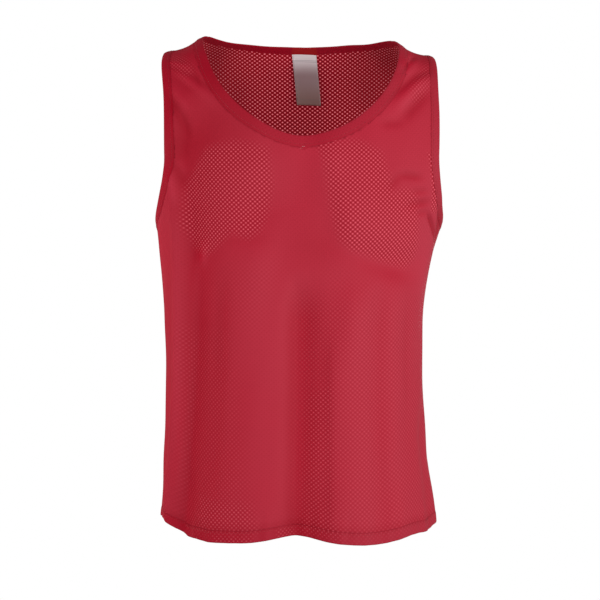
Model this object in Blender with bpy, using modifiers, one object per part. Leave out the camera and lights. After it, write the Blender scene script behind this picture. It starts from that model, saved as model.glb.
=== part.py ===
"""Training bib of eyelet mesh, filled out as when worn and open at neck, armholes and hem.

Metres, +Z up, the front faces -Y and the wearer's left is +X. The origin lies midway
between the two shoulder straps, at the height where they bear on the wearer.

Every piece is laid out flat first, in cloth coordinates: `across` is the distance from the
centre line along the girth, and `run` is the distance from the shoulder seam down the
cloth, positive on the front and negative on the back. worn() then bends those points
round the figure, so that neighbouring pieces meet along the same seams.
"""

import math
from collections import namedtuple

import bpy
import numpy as np
from mathutils import Vector
from mathutils.geometry import delaunay_2d_cdt

# ---------------------------------------------------------------- driving sizes
CLOTH_THICKNESS = 0.0012      # eyelet mesh panel
BINDING_THICKNESS = 0.0022    # folded binding of neck and armholes
HEM_THICKNESS = 0.0022        # panel cloth turned up once
LABEL_THICKNESS = 0.0010
SEAM_GAP = 0.0003

BODY_LENGTH = 0.719           # shoulder seam to hem, along the cloth, as in SECTIONS
BINDING_WIDTH = 0.0125
HEM_WIDTH = 0.0145

# The panels' cut lines: the bindings reach on from them into the openings.
NECK_HALF_WIDTH = 0.1513
NECK_FRONT_CENTRE = 0.005     # the opening hangs a little askew
NECK_BACK_CENTRE = 0.001
NECK_WIDEST_RUN = 0.035       # the opening is widest just in front of the shoulder seam
NECK_FRONT_DROP = 0.2170
NECK_BACK_DROP = 0.0878
NECK_ROUNDNESS = 1.90         # superellipse exponent

ARMHOLE_RUN = 0.2995          # shoulder seam down to the bottom of the armhole
ARMHOLE_CURVE_HEIGHT = 0.098  # height of the rounded lower part, below these rows
ArmholeRow = namedtuple("ArmholeRow", "name run right left back")
ARMHOLE = (
    ArmholeRow("shoulder seam", 0.000, 0.1820, 0.1820, 0.1820),
    ArmholeRow("strap", 0.050, 0.1865, 0.1880, 0.1860),
    ArmholeRow("yoke", 0.105, 0.1810, 0.1855, 0.1870),
    ArmholeRow("chest", 0.155, 0.1752, 0.1813, 0.1860),
    ArmholeRow("turn", ARMHOLE_RUN - ARMHOLE_CURVE_HEIGHT, 0.1750, 0.1795, 0.1850),
)

LABEL_WIDTH = 0.035
LABEL_LENGTH = 0.065          # along the run, which the form draws out to 73 mm here
LABEL_CENTRE = 0.006
LABEL_LEAN = 0.0055           # how far the free end hangs towards the wearer's left
LABEL_CLEARANCE = 0.0018      # air between the back panel and the label below its seam
LABEL_LIFT = 0.0035           # more air at its free end

# Facet sizes
PANEL_COLUMN = 0.0172
PANEL_ROW = 0.0235
EDGE_FACET = 0.0130
ARC_SAMPLES = 240
NOMINAL_QUARTER = 0.26        # a quarter of the girth, which measures the folds' places

# ------------------------------------------------- sections of the figure's form
# One row for each level, from the shoulder seam down. run: along the cloth. The four
# corners of a level: right and left side, front and back middle. square: the section's
# superellipse exponent, 2 for an ellipse and more for a boxier one.
Section = namedtuple(
    "Section",
    "name run right_x right_z left_x left_z front_y front_z front_square back_y back_z back_square",
)
SECTIONS = (
    Section("ridge", 0.000, 0.214, -0.022, 0.214, -0.038, 0.000, 0.048, 3.8, 0.000, 0.048, 3.8),
    Section("shoulder", 0.035, 0.215, -0.033, 0.215, -0.046, -0.033, 0.040, 3.8, 0.034, 0.040, 3.8),
    Section("strap", 0.075, 0.217, -0.060, 0.217, -0.069, -0.064, 0.014, 3.7, 0.067, 0.0195, 3.7),
    Section("yoke", 0.126, 0.218, -0.100, 0.218, -0.103, -0.087, -0.040, 3.5, 0.091, -0.032, 3.5),
    Section("chest", 0.192, 0.2145, -0.152, 0.216, -0.152, -0.107, -0.115, 3.3, 0.108, -0.105, 3.3),
    Section("armpit", 0.289, 0.1985, -0.237, 0.195, -0.237, -0.123, -0.225, 2.5, 0.115, -0.215, 2.6),
    Section("rib", 0.374, 0.1900, -0.317, 0.175, -0.317, -0.124, -0.315, 2.35, 0.108, -0.308, 2.5),
    Section("waist", 0.489, 0.185, -0.430, 0.1685, -0.430, -0.119, -0.430, 2.3, 0.102, -0.427, 2.4),
    Section("hip", 0.609, 0.187, -0.547, 0.1745, -0.547, -0.123, -0.551, 2.3, 0.110, -0.546, 2.4),
    Section("hem", 0.719, 0.191, -0.645, 0.188, -0.645, -0.128, -0.663, 2.3, 0.119, -0.656, 2.4),
)

# The largest folds. Each is a soft ridge (depth above 0) or trough along a line on the
# cloth, bowed sideways in its middle, with a width of its own on either side. girth is
# measured from the centre front towards the wearer's left, on a girth of
# 4 * NOMINAL_QUARTER, so the centre back is at 0.52.
Fold = namedtuple(
    "Fold",
    "name top_girth top_run low_girth low_run bow right_width left_width depth",
)
FOLDS = (
    Fold("front middle trough", 0.018, 0.350, 0.030, 0.780, 0, 0.034, 0.018, -0.012),
    Fold("front right ridge", -0.058, 0.320, -0.066, 0.780, 0, 0.034, 0.034, 0.008),
    Fold("front right trough", -0.128, 0.330, -0.140, 0.780, 0, 0.028, 0.022, -0.010),
    Fold("front left ridge", 0.070, 0.390, 0.072, 0.780, 0, 0.022, 0.038, 0.008),
    Fold("front left trough", 0.110, 0.400, 0.108, 0.720, 0, 0.016, 0.016, -0.003),
    Fold("front left rib", 0.142, 0.380, 0.138, 0.740, 0, 0.020, 0.020, 0.004),
    Fold("right side ridge", -0.200, 0.360, -0.200, 0.720, 0, 0.016, 0.016, 0.005),
    Fold("left side trough", 0.214, 0.560, 0.208, 0.780, 0, 0.016, 0.016, -0.004),
    Fold("left chest drape", 0.048, 0.300, 0.175, 0.374, 0.018, 0.018, 0.024, -0.005),
    Fold("right chest drape", -0.175, 0.352, -0.040, 0.345, 0, 0.020, 0.016, -0.003),
    Fold("back right trough", -0.470, 0.380, -0.452, 0.780, 0, 0.032, 0.026, -0.011),
    Fold("back right ridge", -0.400, 0.440, -0.392, 0.780, 0, 0.030, 0.030, 0.008),
    Fold("back middle ridge", 0.512, 0.330, 0.506, 0.780, 0, 0.036, 0.036, 0.008),
    Fold("back left trough", 0.436, 0.400, 0.428, 0.780, 0, 0.028, 0.028, -0.011),
    Fold("back left ridge", 0.372, 0.500, 0.352, 0.780, 0, 0.028, 0.028, 0.006),
)
FOLD_FADE = 0.070             # length over which a fold grows from nothing

# Where the hem hangs higher, or lower when rise is below 0.
HemWave = namedtuple("HemWave", "name girth width rise")
HEM_WAVES = (
    HemWave("front middle", -0.008, 0.042, 0.0115),
    HemWave("front right", -0.152, 0.032, -0.0055),
    HemWave("front left", 0.112, 0.048, -0.0060),
    HemWave("left side", 0.202, 0.034, -0.0065),
    HemWave("back right", -0.460, 0.034, 0.004),
    HemWave("back left", 0.430, 0.030, 0.004),
)

# Gathers run across the shoulder seam, at a place measured from the centre line.
Gather = namedtuple("Gather", "name across width reach depth")
GATHERS = (
    Gather("right tip", -0.194, 0.011, 0.050, 0.003),
    Gather("right strap", -0.162, 0.020, 0.060, -0.004),
    Gather("left strap", 0.158, 0.020, 0.060, -0.005),
    Gather("left tip", 0.192, 0.011, 0.050, 0.005),
)

# ------------------------------------------------------------------- materials
Look = namedtuple("Look", "name colour roughness")
MESH_CLOTH = Look("mesh_cloth", (0.42, 0.020, 0.040), 0.80)
HEM_CLOTH = Look("hem_cloth", (0.42, 0.020, 0.040), 0.80)
BINDING_CLOTH = Look("binding_cloth", (0.38, 0.016, 0.033), 0.75)
LABEL_SATIN = Look("label_satin", (0.47, 0.43, 0.44), 0.40)


# ------------------------------------------------------------- the worn form
def natural_spline(knots, values, places):
    """A smooth curve through the table's values, read at the given places."""
    step = np.diff(knots)
    slope = np.diff(values) / step
    count = len(knots)
    system = np.eye(count)
    right = np.zeros(count)
    for i in range(1, count - 1):
        system[i, i - 1 : i + 2] = step[i - 1], 2 * (step[i - 1] + step[i]), step[i]
        right[i] = 6 * (slope[i] - slope[i - 1])
    bend = np.linalg.solve(system, right)
    i = np.clip(np.searchsorted(knots, places) - 1, 0, count - 2)
    h, t = step[i], places - knots[i]
    first = slope[i] - h * (2 * bend[i] + bend[i + 1]) / 6
    return values[i] + t * (first + t * (bend[i] / 2 + t * (bend[i + 1] - bend[i]) / (6 * h)))


def level(run, front, back=None):
    """One column of SECTIONS at the given runs, as one curve from the back hem to the front hem."""
    down = np.array([(row.run, getattr(row, front)) for row in SECTIONS])
    up = np.array([(-row.run, getattr(row, back or front)) for row in SECTIONS[:0:-1]])
    knots, values = np.concatenate([up, down]).T
    return natural_spline(knots, values, run)


def section_arcs(run, leftward):
    """Points along each level's quarter section, and their distance from the centre line."""
    side, side_z = (
        np.where(leftward, level(run, f"left_{axis}"), level(run, f"right_{axis}"))
        for axis in "xz"
    )
    middle_y, middle_z, square = (
        level(run, f"front_{field}", f"back_{field}") for field in ("y", "z", "square")
    )
    turn = np.linspace(0, math.pi / 2, ARC_SAMPLES)
    out = np.sin(turn) ** (2 / square[:, None])
    inward = np.maximum(np.cos(turn), 0) ** (2 / square[:, None])
    x = side[:, None] * out
    y = middle_y[:, None] * inward
    z = middle_z[:, None] + (side_z - middle_z)[:, None] * out**2
    steps = np.sqrt(np.diff(x) ** 2 + np.diff(y) ** 2 + np.diff(z) ** 2)
    length = np.concatenate([np.zeros((len(run), 1)), np.cumsum(steps, axis=1)], axis=1)
    return np.stack([x, y, z], axis=2), length


def quarter_girth(run, leftward=True):
    """Distance from the centre line to the side seam along one level."""
    run = np.atleast_1d(np.asarray(run, float))
    return section_arcs(run, np.full(len(run), leftward))[1][:, -1]


def smooth_form(across, run):
    """The figure's form without folds: cloth coordinates to points in space."""
    leftward = across >= 0
    points, length = section_arcs(run, leftward)
    reach = np.minimum(np.abs(across), length[:, -1])
    rows = np.arange(len(run))
    i = np.clip((length < reach[:, None]).sum(axis=1), 1, ARC_SAMPLES - 1)
    share = (reach - length[rows, i - 1]) / (length[rows, i] - length[rows, i - 1])
    found = points[rows, i - 1] + share[:, None] * (points[rows, i] - points[rows, i - 1])
    found[:, 0] *= np.where(leftward, 1, -1)
    return found, across / length[:, -1]


def soft_step(value):
    """A smooth rise from 0 to 1 as value goes from 0 to 1."""
    held = np.clip(value, 0, 1)
    return held**2 * (3 - 2 * held)


def beside(girth, place):
    """Distance round the girth from a place to each point, positive towards the wearer's left."""
    return (girth - place + 2 * NOMINAL_QUARTER) % (4 * NOMINAL_QUARTER) - 2 * NOMINAL_QUARTER


def fold_moves(across, around, run):
    """How far the folds move the cloth outwards and up. around is across in quarter girths."""
    back_girth = np.where(around >= 0, 2 - around, -2 - around)
    girth = np.where(run >= 0, around, back_girth) * NOMINAL_QUARTER
    depth, lift = np.zeros(len(run)), np.zeros(len(run))
    for fold in FOLDS:
        line = np.array([fold.low_girth - fold.top_girth, fold.low_run - fold.top_run])
        reach = np.hypot(*line)
        sideways = beside(girth, fold.top_girth)
        down = np.abs(run) - fold.top_run
        along = (sideways * line[0] + down * line[1]) / reach
        bow = fold.bow * 4 * (along / reach) * (1 - along / reach)
        apart = (sideways * line[1] - down * line[0]) / reach - bow
        width = np.where(apart > 0, fold.left_width, fold.right_width)
        ends = soft_step(along / FOLD_FADE + 0.5) * soft_step((reach - along) / FOLD_FADE + 0.5)
        depth += fold.depth * ends * np.exp(-((apart / width) ** 2))
    for wave in HEM_WAVES:
        share = np.exp(-((beside(girth, wave.girth) / wave.width) ** 2))
        lift += wave.rise * share * (run / BODY_LENGTH) ** 6
    for gather in GATHERS:
        apart = (across - gather.across) / gather.width
        depth += gather.depth * np.exp(-(apart**2) - (run / gather.reach) ** 2)
    return depth, lift


def worn(cloth, outside=0.0):
    """Cloth coordinates to points on the worn bib, moved outwards by a distance."""
    across, run = np.asarray(cloth, float).T
    nudge = 2e-4
    place, around = smooth_form(across, run)
    towards = np.where(across >= 0, -1, 1)
    next_to = (smooth_form(across + nudge * towards, run)[0] - place) * towards[:, None]
    upward = np.where(run > 0, -1, 1)
    above = (smooth_form(across, run + nudge * upward)[0] - place) * upward[:, None]
    outward = np.cross(above, next_to)
    outward /= np.linalg.norm(outward, axis=1)[:, None]
    depth, lift = fold_moves(across, around, run)
    return place + outward * (depth + outside)[:, None] + lift[:, None] * (0, 0, 1)


# ------------------------------------------------------- edges, on the flat cloth
def resampled(points, spacing, count=None):
    """The same line with evenly spaced points, its ends kept."""
    points = np.asarray(points, float)
    length = np.concatenate([[0], np.cumsum(np.hypot(*np.diff(points, axis=0).T))])
    count = count or max(2, round(length[-1] / spacing))
    places = np.linspace(0, length[-1], count + 1)
    return np.stack([np.interp(places, length, points[:, k]) for k in (0, 1)], axis=1)


def moved(line, distance, centre, closed=False):
    """The line moved sideways by a distance, away from centre, or towards it when negative."""
    if closed:
        along = np.roll(line, -1, axis=0) - np.roll(line, 1, axis=0)
    else:
        along = np.gradient(line, axis=0)
    along /= np.hypot(*along.T)[:, None]
    across = np.stack([-along[:, 1], along[:, 0]], axis=1)
    if ((line - centre) * across).sum() < 0:
        across = -across
    return line + distance * across


def neck_cut(front):
    """The cut line of the neck on one panel, from the left shoulder seam to the right."""
    back_axis = NECK_WIDEST_RUN + NECK_BACK_DROP
    seam_angle = -math.asin(NECK_WIDEST_RUN / back_axis)
    ends = (seam_angle, math.pi - seam_angle) if front else (seam_angle, -math.pi - seam_angle)
    angle = np.linspace(*ends, 240)
    sine, cosine = np.sin(angle), np.cos(angle)
    power = np.where(sine > 0, 2 / NECK_ROUNDNESS, 1)
    axis = np.where(sine > 0, NECK_FRONT_DROP - NECK_WIDEST_RUN, back_axis)
    run = NECK_WIDEST_RUN + axis * np.sign(sine) * np.abs(sine) ** power
    lean = soft_step(run / (0.6 * NECK_FRONT_DROP))
    centre = NECK_BACK_CENTRE + (NECK_FRONT_CENTRE - NECK_BACK_CENTRE) * lean
    across = centre + NECK_HALF_WIDTH * np.sign(cosine) * np.abs(cosine) ** power
    line = np.stack([across, run], axis=1)
    line[[0, -1], 1] = 0
    return resampled(line, EDGE_FACET)


def armhole_cut(front, side):
    """The cut line of an armhole on one panel, from the side seam up to the shoulder seam."""
    facing = 1 if front else -1
    seam = quarter_girth([ARMHOLE_RUN * facing], side > 0)[0]
    name = ("left" if side > 0 else "right") if front else "back"
    runs = np.array([row.run for row in ARMHOLE])
    halves = np.array([getattr(row, name) for row in ARMHOLE])
    turn = np.linspace(0, math.pi / 2, 80)
    low = np.stack(
        [
            seam - (seam - halves[-1]) * np.sin(turn),
            ARMHOLE_RUN - ARMHOLE_CURVE_HEIGHT * (1 - np.cos(turn)),
        ],
        axis=1,
    )
    rise = np.linspace(runs[-1], 0, 80)[1:]
    high = np.stack([natural_spline(runs, halves, rise), rise], axis=1)
    return resampled(np.concatenate([low, high]) * (side, facing), EDGE_FACET)


def armhole_opening(front, side):
    """A place inside the armhole on the flat cloth, which tells its two sides apart."""
    return np.array([side * 0.4, 0.1 if front else -0.1])


def side_line(front, side, top_run, low_run, inset):
    """The side seam of one panel, from the armhole down."""
    facing = 1 if front else -1
    count = max(2, round((low_run - top_run) / PANEL_ROW))
    run = np.linspace(top_run, low_run, count + 1) * facing
    across = (quarter_girth(run, side > 0) - inset) * side
    return np.stack([across, run], axis=1)


def hem_line(front, run, inset):
    """A level line across one panel, from the left side seam to the right."""
    facing = 1 if front else -1
    left = quarter_girth([run * facing], True)[0] - inset
    right = quarter_girth([run * facing], False)[0] - inset
    count = round((left + right) / EDGE_FACET)
    across = np.linspace(left, -right, count + 1)
    return np.stack([across, np.full(len(across), run * facing)], axis=1)


# --------------------------------------------------------------- cutting cloth
def inside(points, outline):
    """Which points lie inside a closed outline."""
    x, y = points.T
    found = np.zeros(len(points), bool)
    for (x0, y0), (x1, y1) in zip(outline, np.roll(outline, -1, axis=0)):
        if y0 != y1:
            crosses = ((y0 > y) != (y1 > y)) & (x < (x1 - x0) * (y - y0) / (y1 - y0) + x0)
            found ^= crosses
    return found


def clearance(points, outline):
    """Each point's distance from a closed outline."""
    nearest = np.full(len(points), np.inf)
    for start, end in zip(outline, np.roll(outline, -1, axis=0)):
        line = end - start
        share = np.clip(((points - start) @ line) / max(line @ line, 1e-12), 0, 1)
        nearest = np.minimum(nearest, np.hypot(*(points - start - share[:, None] * line).T))
    return nearest


def cut_panel(outline):
    """A flat outline filled with even triangles: (cloth points, triangles)."""
    low, high = outline.min(axis=0), outline.max(axis=0)
    rows = np.arange(low[1], high[1], PANEL_ROW)
    columns = np.arange(low[0] - PANEL_COLUMN, high[0] + PANEL_COLUMN, PANEL_COLUMN)
    lattice = np.array(
        [(x + (i % 2) * PANEL_COLUMN / 2, y) for i, y in enumerate(rows) for x in columns]
    )
    # Squeezed lengthwise, the lattice becomes one of even triangles.
    squeeze = np.array([1, 0.866 * PANEL_COLUMN / PANEL_ROW])
    outline, lattice = outline * squeeze, lattice * squeeze
    lattice = lattice[inside(lattice, outline)]
    lattice = lattice[clearance(lattice, outline) > 0.5 * PANEL_COLUMN]
    points = [Vector(p) for p in np.concatenate([outline, lattice])]
    made = delaunay_2d_cdt(points, [], [list(range(len(outline)))], 1, 1e-7)
    return np.array(made[0]) / squeeze, [list(face) for face in made[2]]


def strip(edge, seam, rows, closed=False):
    """A band between two lines with the same number of points: (cloth points, quads)."""
    lines = [edge + (seam - edge) * k / rows for k in range(rows + 1)]
    count = len(edge)
    quads = []
    for k in range(rows):
        for i in range(count if closed else count - 1):
            j = (i + 1) % count
            quads.append([k * count + i, k * count + j, (k + 1) * count + j, (k + 1) * count + i])
    return np.concatenate(lines), quads


# ------------------------------------------------------------ objects in Blender
def clear_scene():
    for obj in list(bpy.data.objects):
        bpy.data.objects.remove(obj)


def finish(look):
    made = bpy.data.materials.get(look.name)
    if made is None:
        made = bpy.data.materials.new(look.name)
        made.use_nodes = True
        shader = made.node_tree.nodes["Principled BSDF"]
        shader.inputs["Base Color"].default_value = (*look.colour, 1)
        shader.inputs["Roughness"].default_value = look.roughness
        shader.inputs["Metallic"].default_value = 0
    return made


def sew(name, places, faces, thickness, look, collection):
    """One named piece: an open sheet through the given places, walled by Solidify."""
    mesh = bpy.data.meshes.new(name)
    mesh.from_pydata([tuple(p) for p in places], [], faces)
    normal = np.zeros(3)
    for polygon in mesh.polygons:
        outward = np.array(polygon.center) * (1, 1, 0)
        normal[0] += np.dot(outward, polygon.normal)
    if normal[0] < 0:
        mesh.flip_normals()
    mesh.shade_smooth()
    obj = bpy.data.objects.new(name, mesh)
    collection.objects.link(obj)
    mesh.materials.append(finish(look))
    wall = obj.modifiers.new("wall", "SOLIDIFY")
    wall.thickness = thickness
    wall.offset = 0
    return obj


def make_panel(front, collection):
    """Front or back: cut inside the bindings, down to the hem, from side seam to side seam."""
    facing = 1 if front else -1
    low_run = BODY_LENGTH - HEM_WIDTH - SEAM_GAP
    neck = moved(neck_cut(front), SEAM_GAP, (0, 0))
    neck[[0, -1], 1] = facing * SEAM_GAP / 2
    outline = [hem_line(front, low_run, SEAM_GAP / 2)]
    for side in (-1, 1):
        armhole = moved(armhole_cut(front, side), SEAM_GAP, armhole_opening(front, side))
        seam = side_line(front, side, abs(armhole[0, 1]), low_run, SEAM_GAP / 2)
        armhole[0] = seam[0]
        armhole[-1, 1] = facing * SEAM_GAP / 2
        shoulder = resampled([armhole[-1], neck[-1 if side < 0 else 0]], EDGE_FACET)
        half = [seam[-2:0:-1], armhole, shoulder[1:-1]]
        if side < 0:
            outline += half + [neck[::-1]]
        else:
            outline += [line[::-1] for line in reversed(half)]
    points, faces = cut_panel(np.concatenate(outline))
    name = "front_panel" if front else "back_panel"
    sew(name, worn(points), faces, CLOTH_THICKNESS, MESH_CLOTH, collection)


def make_neck_binding(collection):
    """One closed band round the neck, over both shoulder seams."""
    cut = np.concatenate([neck_cut(True), neck_cut(False)[-2:0:-1]])
    free = moved(cut, -BINDING_WIDTH, (0, 0), closed=True)
    points, faces = strip(free, cut, 2, closed=True)
    sew("neck_binding", worn(points), faces, BINDING_THICKNESS, BINDING_CLOTH, collection)


def make_armhole_binding(side, collection):
    """One closed band round an armhole, joined at the side seam."""
    free_lines, cut_lines = [], []
    for front in (True, False):
        cut = armhole_cut(front, side)
        free = moved(cut, -BINDING_WIDTH, armhole_opening(front, side))
        free[0, 0] = side * quarter_girth(free[:1, 1], side > 0)[0]
        free[-1, 1] = 0
        part = slice(None) if front else slice(-2, 0, -1)
        free_lines.append(free[part])
        cut_lines.append(cut[part])
    points, faces = strip(np.concatenate(free_lines), np.concatenate(cut_lines), 2, closed=True)
    name = "armhole_binding_left" if side > 0 else "armhole_binding_right"
    sew(name, worn(points), faces, BINDING_THICKNESS, BINDING_CLOTH, collection)


def make_hem(front, collection):
    """The turned-up lower edge of one panel."""
    edge = hem_line(front, BODY_LENGTH, SEAM_GAP / 2)
    seam = hem_line(front, BODY_LENGTH - HEM_WIDTH, SEAM_GAP / 2)
    seam = resampled(seam, EDGE_FACET, len(edge) - 1)
    points, faces = strip(edge, seam, 1)
    name = "front_hem" if front else "back_hem"
    sew(name, worn(points), faces, HEM_THICKNESS, HEM_CLOTH, collection)


def make_label(collection):
    """A satin label inside the back panel, hung from the neck binding's seam."""
    top = NECK_BACK_DROP + SEAM_GAP
    across, down = np.meshgrid(np.linspace(-0.5, 0.5, 5), np.linspace(0, 1, 8))
    cloth = np.stack(
        [
            LABEL_CENTRE + LABEL_WIDTH * across + LABEL_LEAN * down,
            -(top + LABEL_LENGTH * down),
        ],
        axis=2,
    ).reshape(-1, 2)
    down = down.ravel()
    depth = CLOTH_THICKNESS / 2 + LABEL_THICKNESS / 2 + SEAM_GAP
    depth = depth + LABEL_CLEARANCE * soft_step(down / 0.3) + LABEL_LIFT * down**2
    faces = [
        [r * 5 + c, r * 5 + c + 1, r * 5 + c + 6, r * 5 + c + 5]
        for r in range(7)
        for c in range(4)
    ]
    sew("neck_label", worn(cloth, -depth), faces, LABEL_THICKNESS, LABEL_SATIN, collection)


def main():
    clear_scene()
    collection = bpy.data.collections.new("training_bib")
    bpy.context.scene.collection.children.link(collection)
    for front in (True, False):
        make_panel(front, collection)
        make_hem(front, collection)
    make_neck_binding(collection)
    for side in (1, -1):
        make_armhole_binding(side, collection)
    make_label(collection)


main()
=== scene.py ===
"""Looks of the training bib: eyelet mesh, folded bindings, turned-up hem and satin label.

Metres, +Z up, the front faces -Y and the wearer's left is +X. Every piece is laid out in
cloth coordinates first: `across` is the distance from the centre line round the girth and
`run` the distance from the shoulder seam down the cloth, positive on the front and negative
on the back. WornForm bends those points round the figure, so that pieces sewn to each other
share one form, and the pattern of the mesh follows the cloth.
"""

from __future__ import annotations

import logging
import math
from collections.abc import Callable, Iterable, Sequence
from dataclasses import dataclass, field
from enum import Enum

import bmesh
import bpy
import numpy as np
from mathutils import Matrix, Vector
from mathutils.geometry import delaunay_2d_cdt


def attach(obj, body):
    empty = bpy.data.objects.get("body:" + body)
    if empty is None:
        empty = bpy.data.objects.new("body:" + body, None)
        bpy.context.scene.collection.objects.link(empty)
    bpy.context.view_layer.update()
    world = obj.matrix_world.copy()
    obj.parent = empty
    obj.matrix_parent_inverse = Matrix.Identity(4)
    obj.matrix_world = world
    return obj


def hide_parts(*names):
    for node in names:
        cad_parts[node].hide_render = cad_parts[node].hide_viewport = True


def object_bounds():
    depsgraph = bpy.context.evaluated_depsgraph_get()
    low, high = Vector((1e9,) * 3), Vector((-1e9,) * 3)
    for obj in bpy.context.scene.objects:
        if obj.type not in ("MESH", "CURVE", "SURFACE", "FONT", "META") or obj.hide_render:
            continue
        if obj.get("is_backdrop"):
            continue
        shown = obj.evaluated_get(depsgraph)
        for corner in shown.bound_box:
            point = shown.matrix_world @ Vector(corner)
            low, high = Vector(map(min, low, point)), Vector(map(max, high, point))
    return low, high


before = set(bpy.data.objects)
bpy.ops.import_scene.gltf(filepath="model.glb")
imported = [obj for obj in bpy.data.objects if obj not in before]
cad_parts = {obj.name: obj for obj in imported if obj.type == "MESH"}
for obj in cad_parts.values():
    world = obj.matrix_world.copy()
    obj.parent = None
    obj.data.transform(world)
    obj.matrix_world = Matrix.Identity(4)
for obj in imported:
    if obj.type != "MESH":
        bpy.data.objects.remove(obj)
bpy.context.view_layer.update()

LOG = logging.getLogger("training_bib")
BODY = "root"
Array = np.ndarray
Object = bpy.types.Object
Material = bpy.types.Material
Socket = bpy.types.NodeSocket
Colour = tuple[float, float, float]
Place = tuple[float, float]  # across and run on the cloth
Pair = tuple[float, float]  # of sizes, shares or heights
BLACK: Colour = (0.0, 0.0, 0.0)


class Panel(Enum):
    """The two halves of the bib; the value is the sign of `run` on it."""

    FRONT = 1
    BACK = -1


class Hand(Enum):
    """The wearer's two sides; the value is the sign of `across` there."""

    LEFT = 1
    RIGHT = -1


# ------------------------------------- the worn form
@dataclass(frozen=True)
class Level:
    """One level of the figure's form.

    right and left are the sides (x, z); front and back are the middles (y, z, square), where
    square is a superellipse exponent, 2 for an ellipse and more for a boxier section.
    """

    run: float
    right: Pair
    left: Pair
    front: tuple[float, float, float]
    back: tuple[float, float, float]


LEVELS = (
    Level(0.000, (0.214, -0.022), (0.214, -0.038), (0.000, 0.048, 3.8), (0.000, 0.048, 3.8)),
    Level(0.035, (0.215, -0.033), (0.215, -0.046), (-0.033, 0.040, 3.8), (0.034, 0.040, 3.8)),
    Level(0.075, (0.217, -0.060), (0.217, -0.069), (-0.064, 0.014, 3.7), (0.067, 0.0195, 3.7)),
    Level(0.126, (0.218, -0.100), (0.218, -0.103), (-0.087, -0.040, 3.5), (0.091, -0.032, 3.5)),
    Level(0.192, (0.2145, -0.152), (0.216, -0.152), (-0.107, -0.115, 3.3), (0.108, -0.105, 3.3)),
    Level(0.289, (0.1985, -0.237), (0.195, -0.237), (-0.123, -0.225, 2.5), (0.115, -0.215, 2.6)),
    Level(0.374, (0.190, -0.317), (0.175, -0.317), (-0.124, -0.315, 2.35), (0.108, -0.308, 2.5)),
    Level(0.489, (0.185, -0.430), (0.1685, -0.430), (-0.119, -0.430, 2.3), (0.102, -0.427, 2.4)),
    Level(0.609, (0.187, -0.547), (0.1745, -0.547), (-0.123, -0.551, 2.3), (0.110, -0.546, 2.4)),
    Level(0.719, (0.191, -0.645), (0.188, -0.645), (-0.128, -0.663, 2.3), (0.119, -0.656, 2.4)),
)


@dataclass(frozen=True)
class Fold:
    """A large ridge (depth above 0) or trough along a line on the cloth.

    top and low are its ends as (girth, run). girth runs from the centre front towards the
    wearer's left on a girth of four nominal quarters, so the centre back is at 0.52.
    widths are those of its right and left flanks, and bow is how far its middle swings out.
    """

    name: str
    top: Place
    low: Place
    widths: Pair
    depth: float
    bow: float = 0.0


FOLDS = (
    Fold("front middle trough", (-0.002, 0.395), (-0.006, 0.780), (0.014, 0.032), -0.016),
    Fold("front right ridge", (-0.058, 0.320), (-0.060, 0.780), (0.034, 0.034), 0.006),
    Fold("front right trough", (-0.143, 0.160), (-0.179, 0.780), (0.015, 0.038), -0.0145),
    Fold("front right trough, far edge", (-0.104, 0.380), (-0.122, 0.640), (0.020, 0.010), -0.0040),
    Fold("front left edge", (0.050, 0.460), (0.046, 0.760), (0.010, 0.018), 0.0035),
    Fold("front left ridge", (0.078, 0.390), (0.074, 0.780), (0.024, 0.038), 0.007),
    Fold("front left trough", (0.112, 0.400), (0.108, 0.720), (0.010, 0.014), -0.003),
    Fold("front left rib", (0.142, 0.380), (0.138, 0.740), (0.020, 0.020), 0.004),
    Fold("right side ridge", (-0.172, 0.280), (-0.208, 0.720), (0.010, 0.011), 0.0055),
    Fold("right side, second ridge", (-0.155, 0.350), (-0.186, 0.660), (0.006, 0.007), 0.0028),
    Fold("left side trough", (0.214, 0.560), (0.208, 0.780), (0.016, 0.016), -0.004),
    Fold("left chest ridge", (0.034, 0.205), (0.084, 0.348), (0.028, 0.052), 0.011),
    Fold("left chest drape", (0.046, 0.326), (0.172, 0.362), (0.018, 0.028), -0.007, -0.006),
    Fold("right collar ridge", (-0.080, 0.110), (-0.040, 0.262), (0.060, 0.040), 0.011),
    Fold("back right trough", (-0.470, 0.380), (-0.452, 0.780), (0.032, 0.026), -0.011),
    Fold("back right ridge", (-0.400, 0.440), (-0.392, 0.780), (0.030, 0.030), 0.008),
    Fold("back middle ridge", (0.512, 0.330), (0.506, 0.780), (0.036, 0.036), 0.008),
    Fold("back left trough", (0.436, 0.400), (0.428, 0.780), (0.028, 0.028), -0.011),
    Fold("back left ridge", (0.372, 0.500), (0.352, 0.780), (0.028, 0.028), 0.006),
)


@dataclass(frozen=True)
class HemWave:
    """A stretch where the hem hangs higher, or lower when rise is below 0."""

    name: str
    girth: float
    width: float
    rise: float


HEM_WAVES = (
    HemWave("front middle", -0.008, 0.042, 0.0115),
    HemWave("front right", -0.138, 0.048, -0.0072),
    HemWave("right side", -0.172, 0.016, -0.0050),
    HemWave("right corner", -0.226, 0.030, 0.0070),
    HemWave("front left", 0.112, 0.048, -0.0060),
    HemWave("left side", 0.202, 0.034, -0.0065),
    HemWave("back right", -0.460, 0.034, 0.004),
    HemWave("back left", 0.430, 0.030, 0.004),
)


@dataclass(frozen=True)
class Gather:
    """A small fold over the shoulder seam, measured from the centre line."""

    name: str
    across: float
    width: float
    reach: float
    depth: float


GATHERS = (
    Gather("right tip", -0.194, 0.011, 0.050, 0.003),
    Gather("right strap", -0.162, 0.020, 0.060, -0.004),
    Gather("left strap", 0.158, 0.020, 0.060, -0.005),
    Gather("left tip", 0.192, 0.011, 0.050, 0.005),
)


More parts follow.
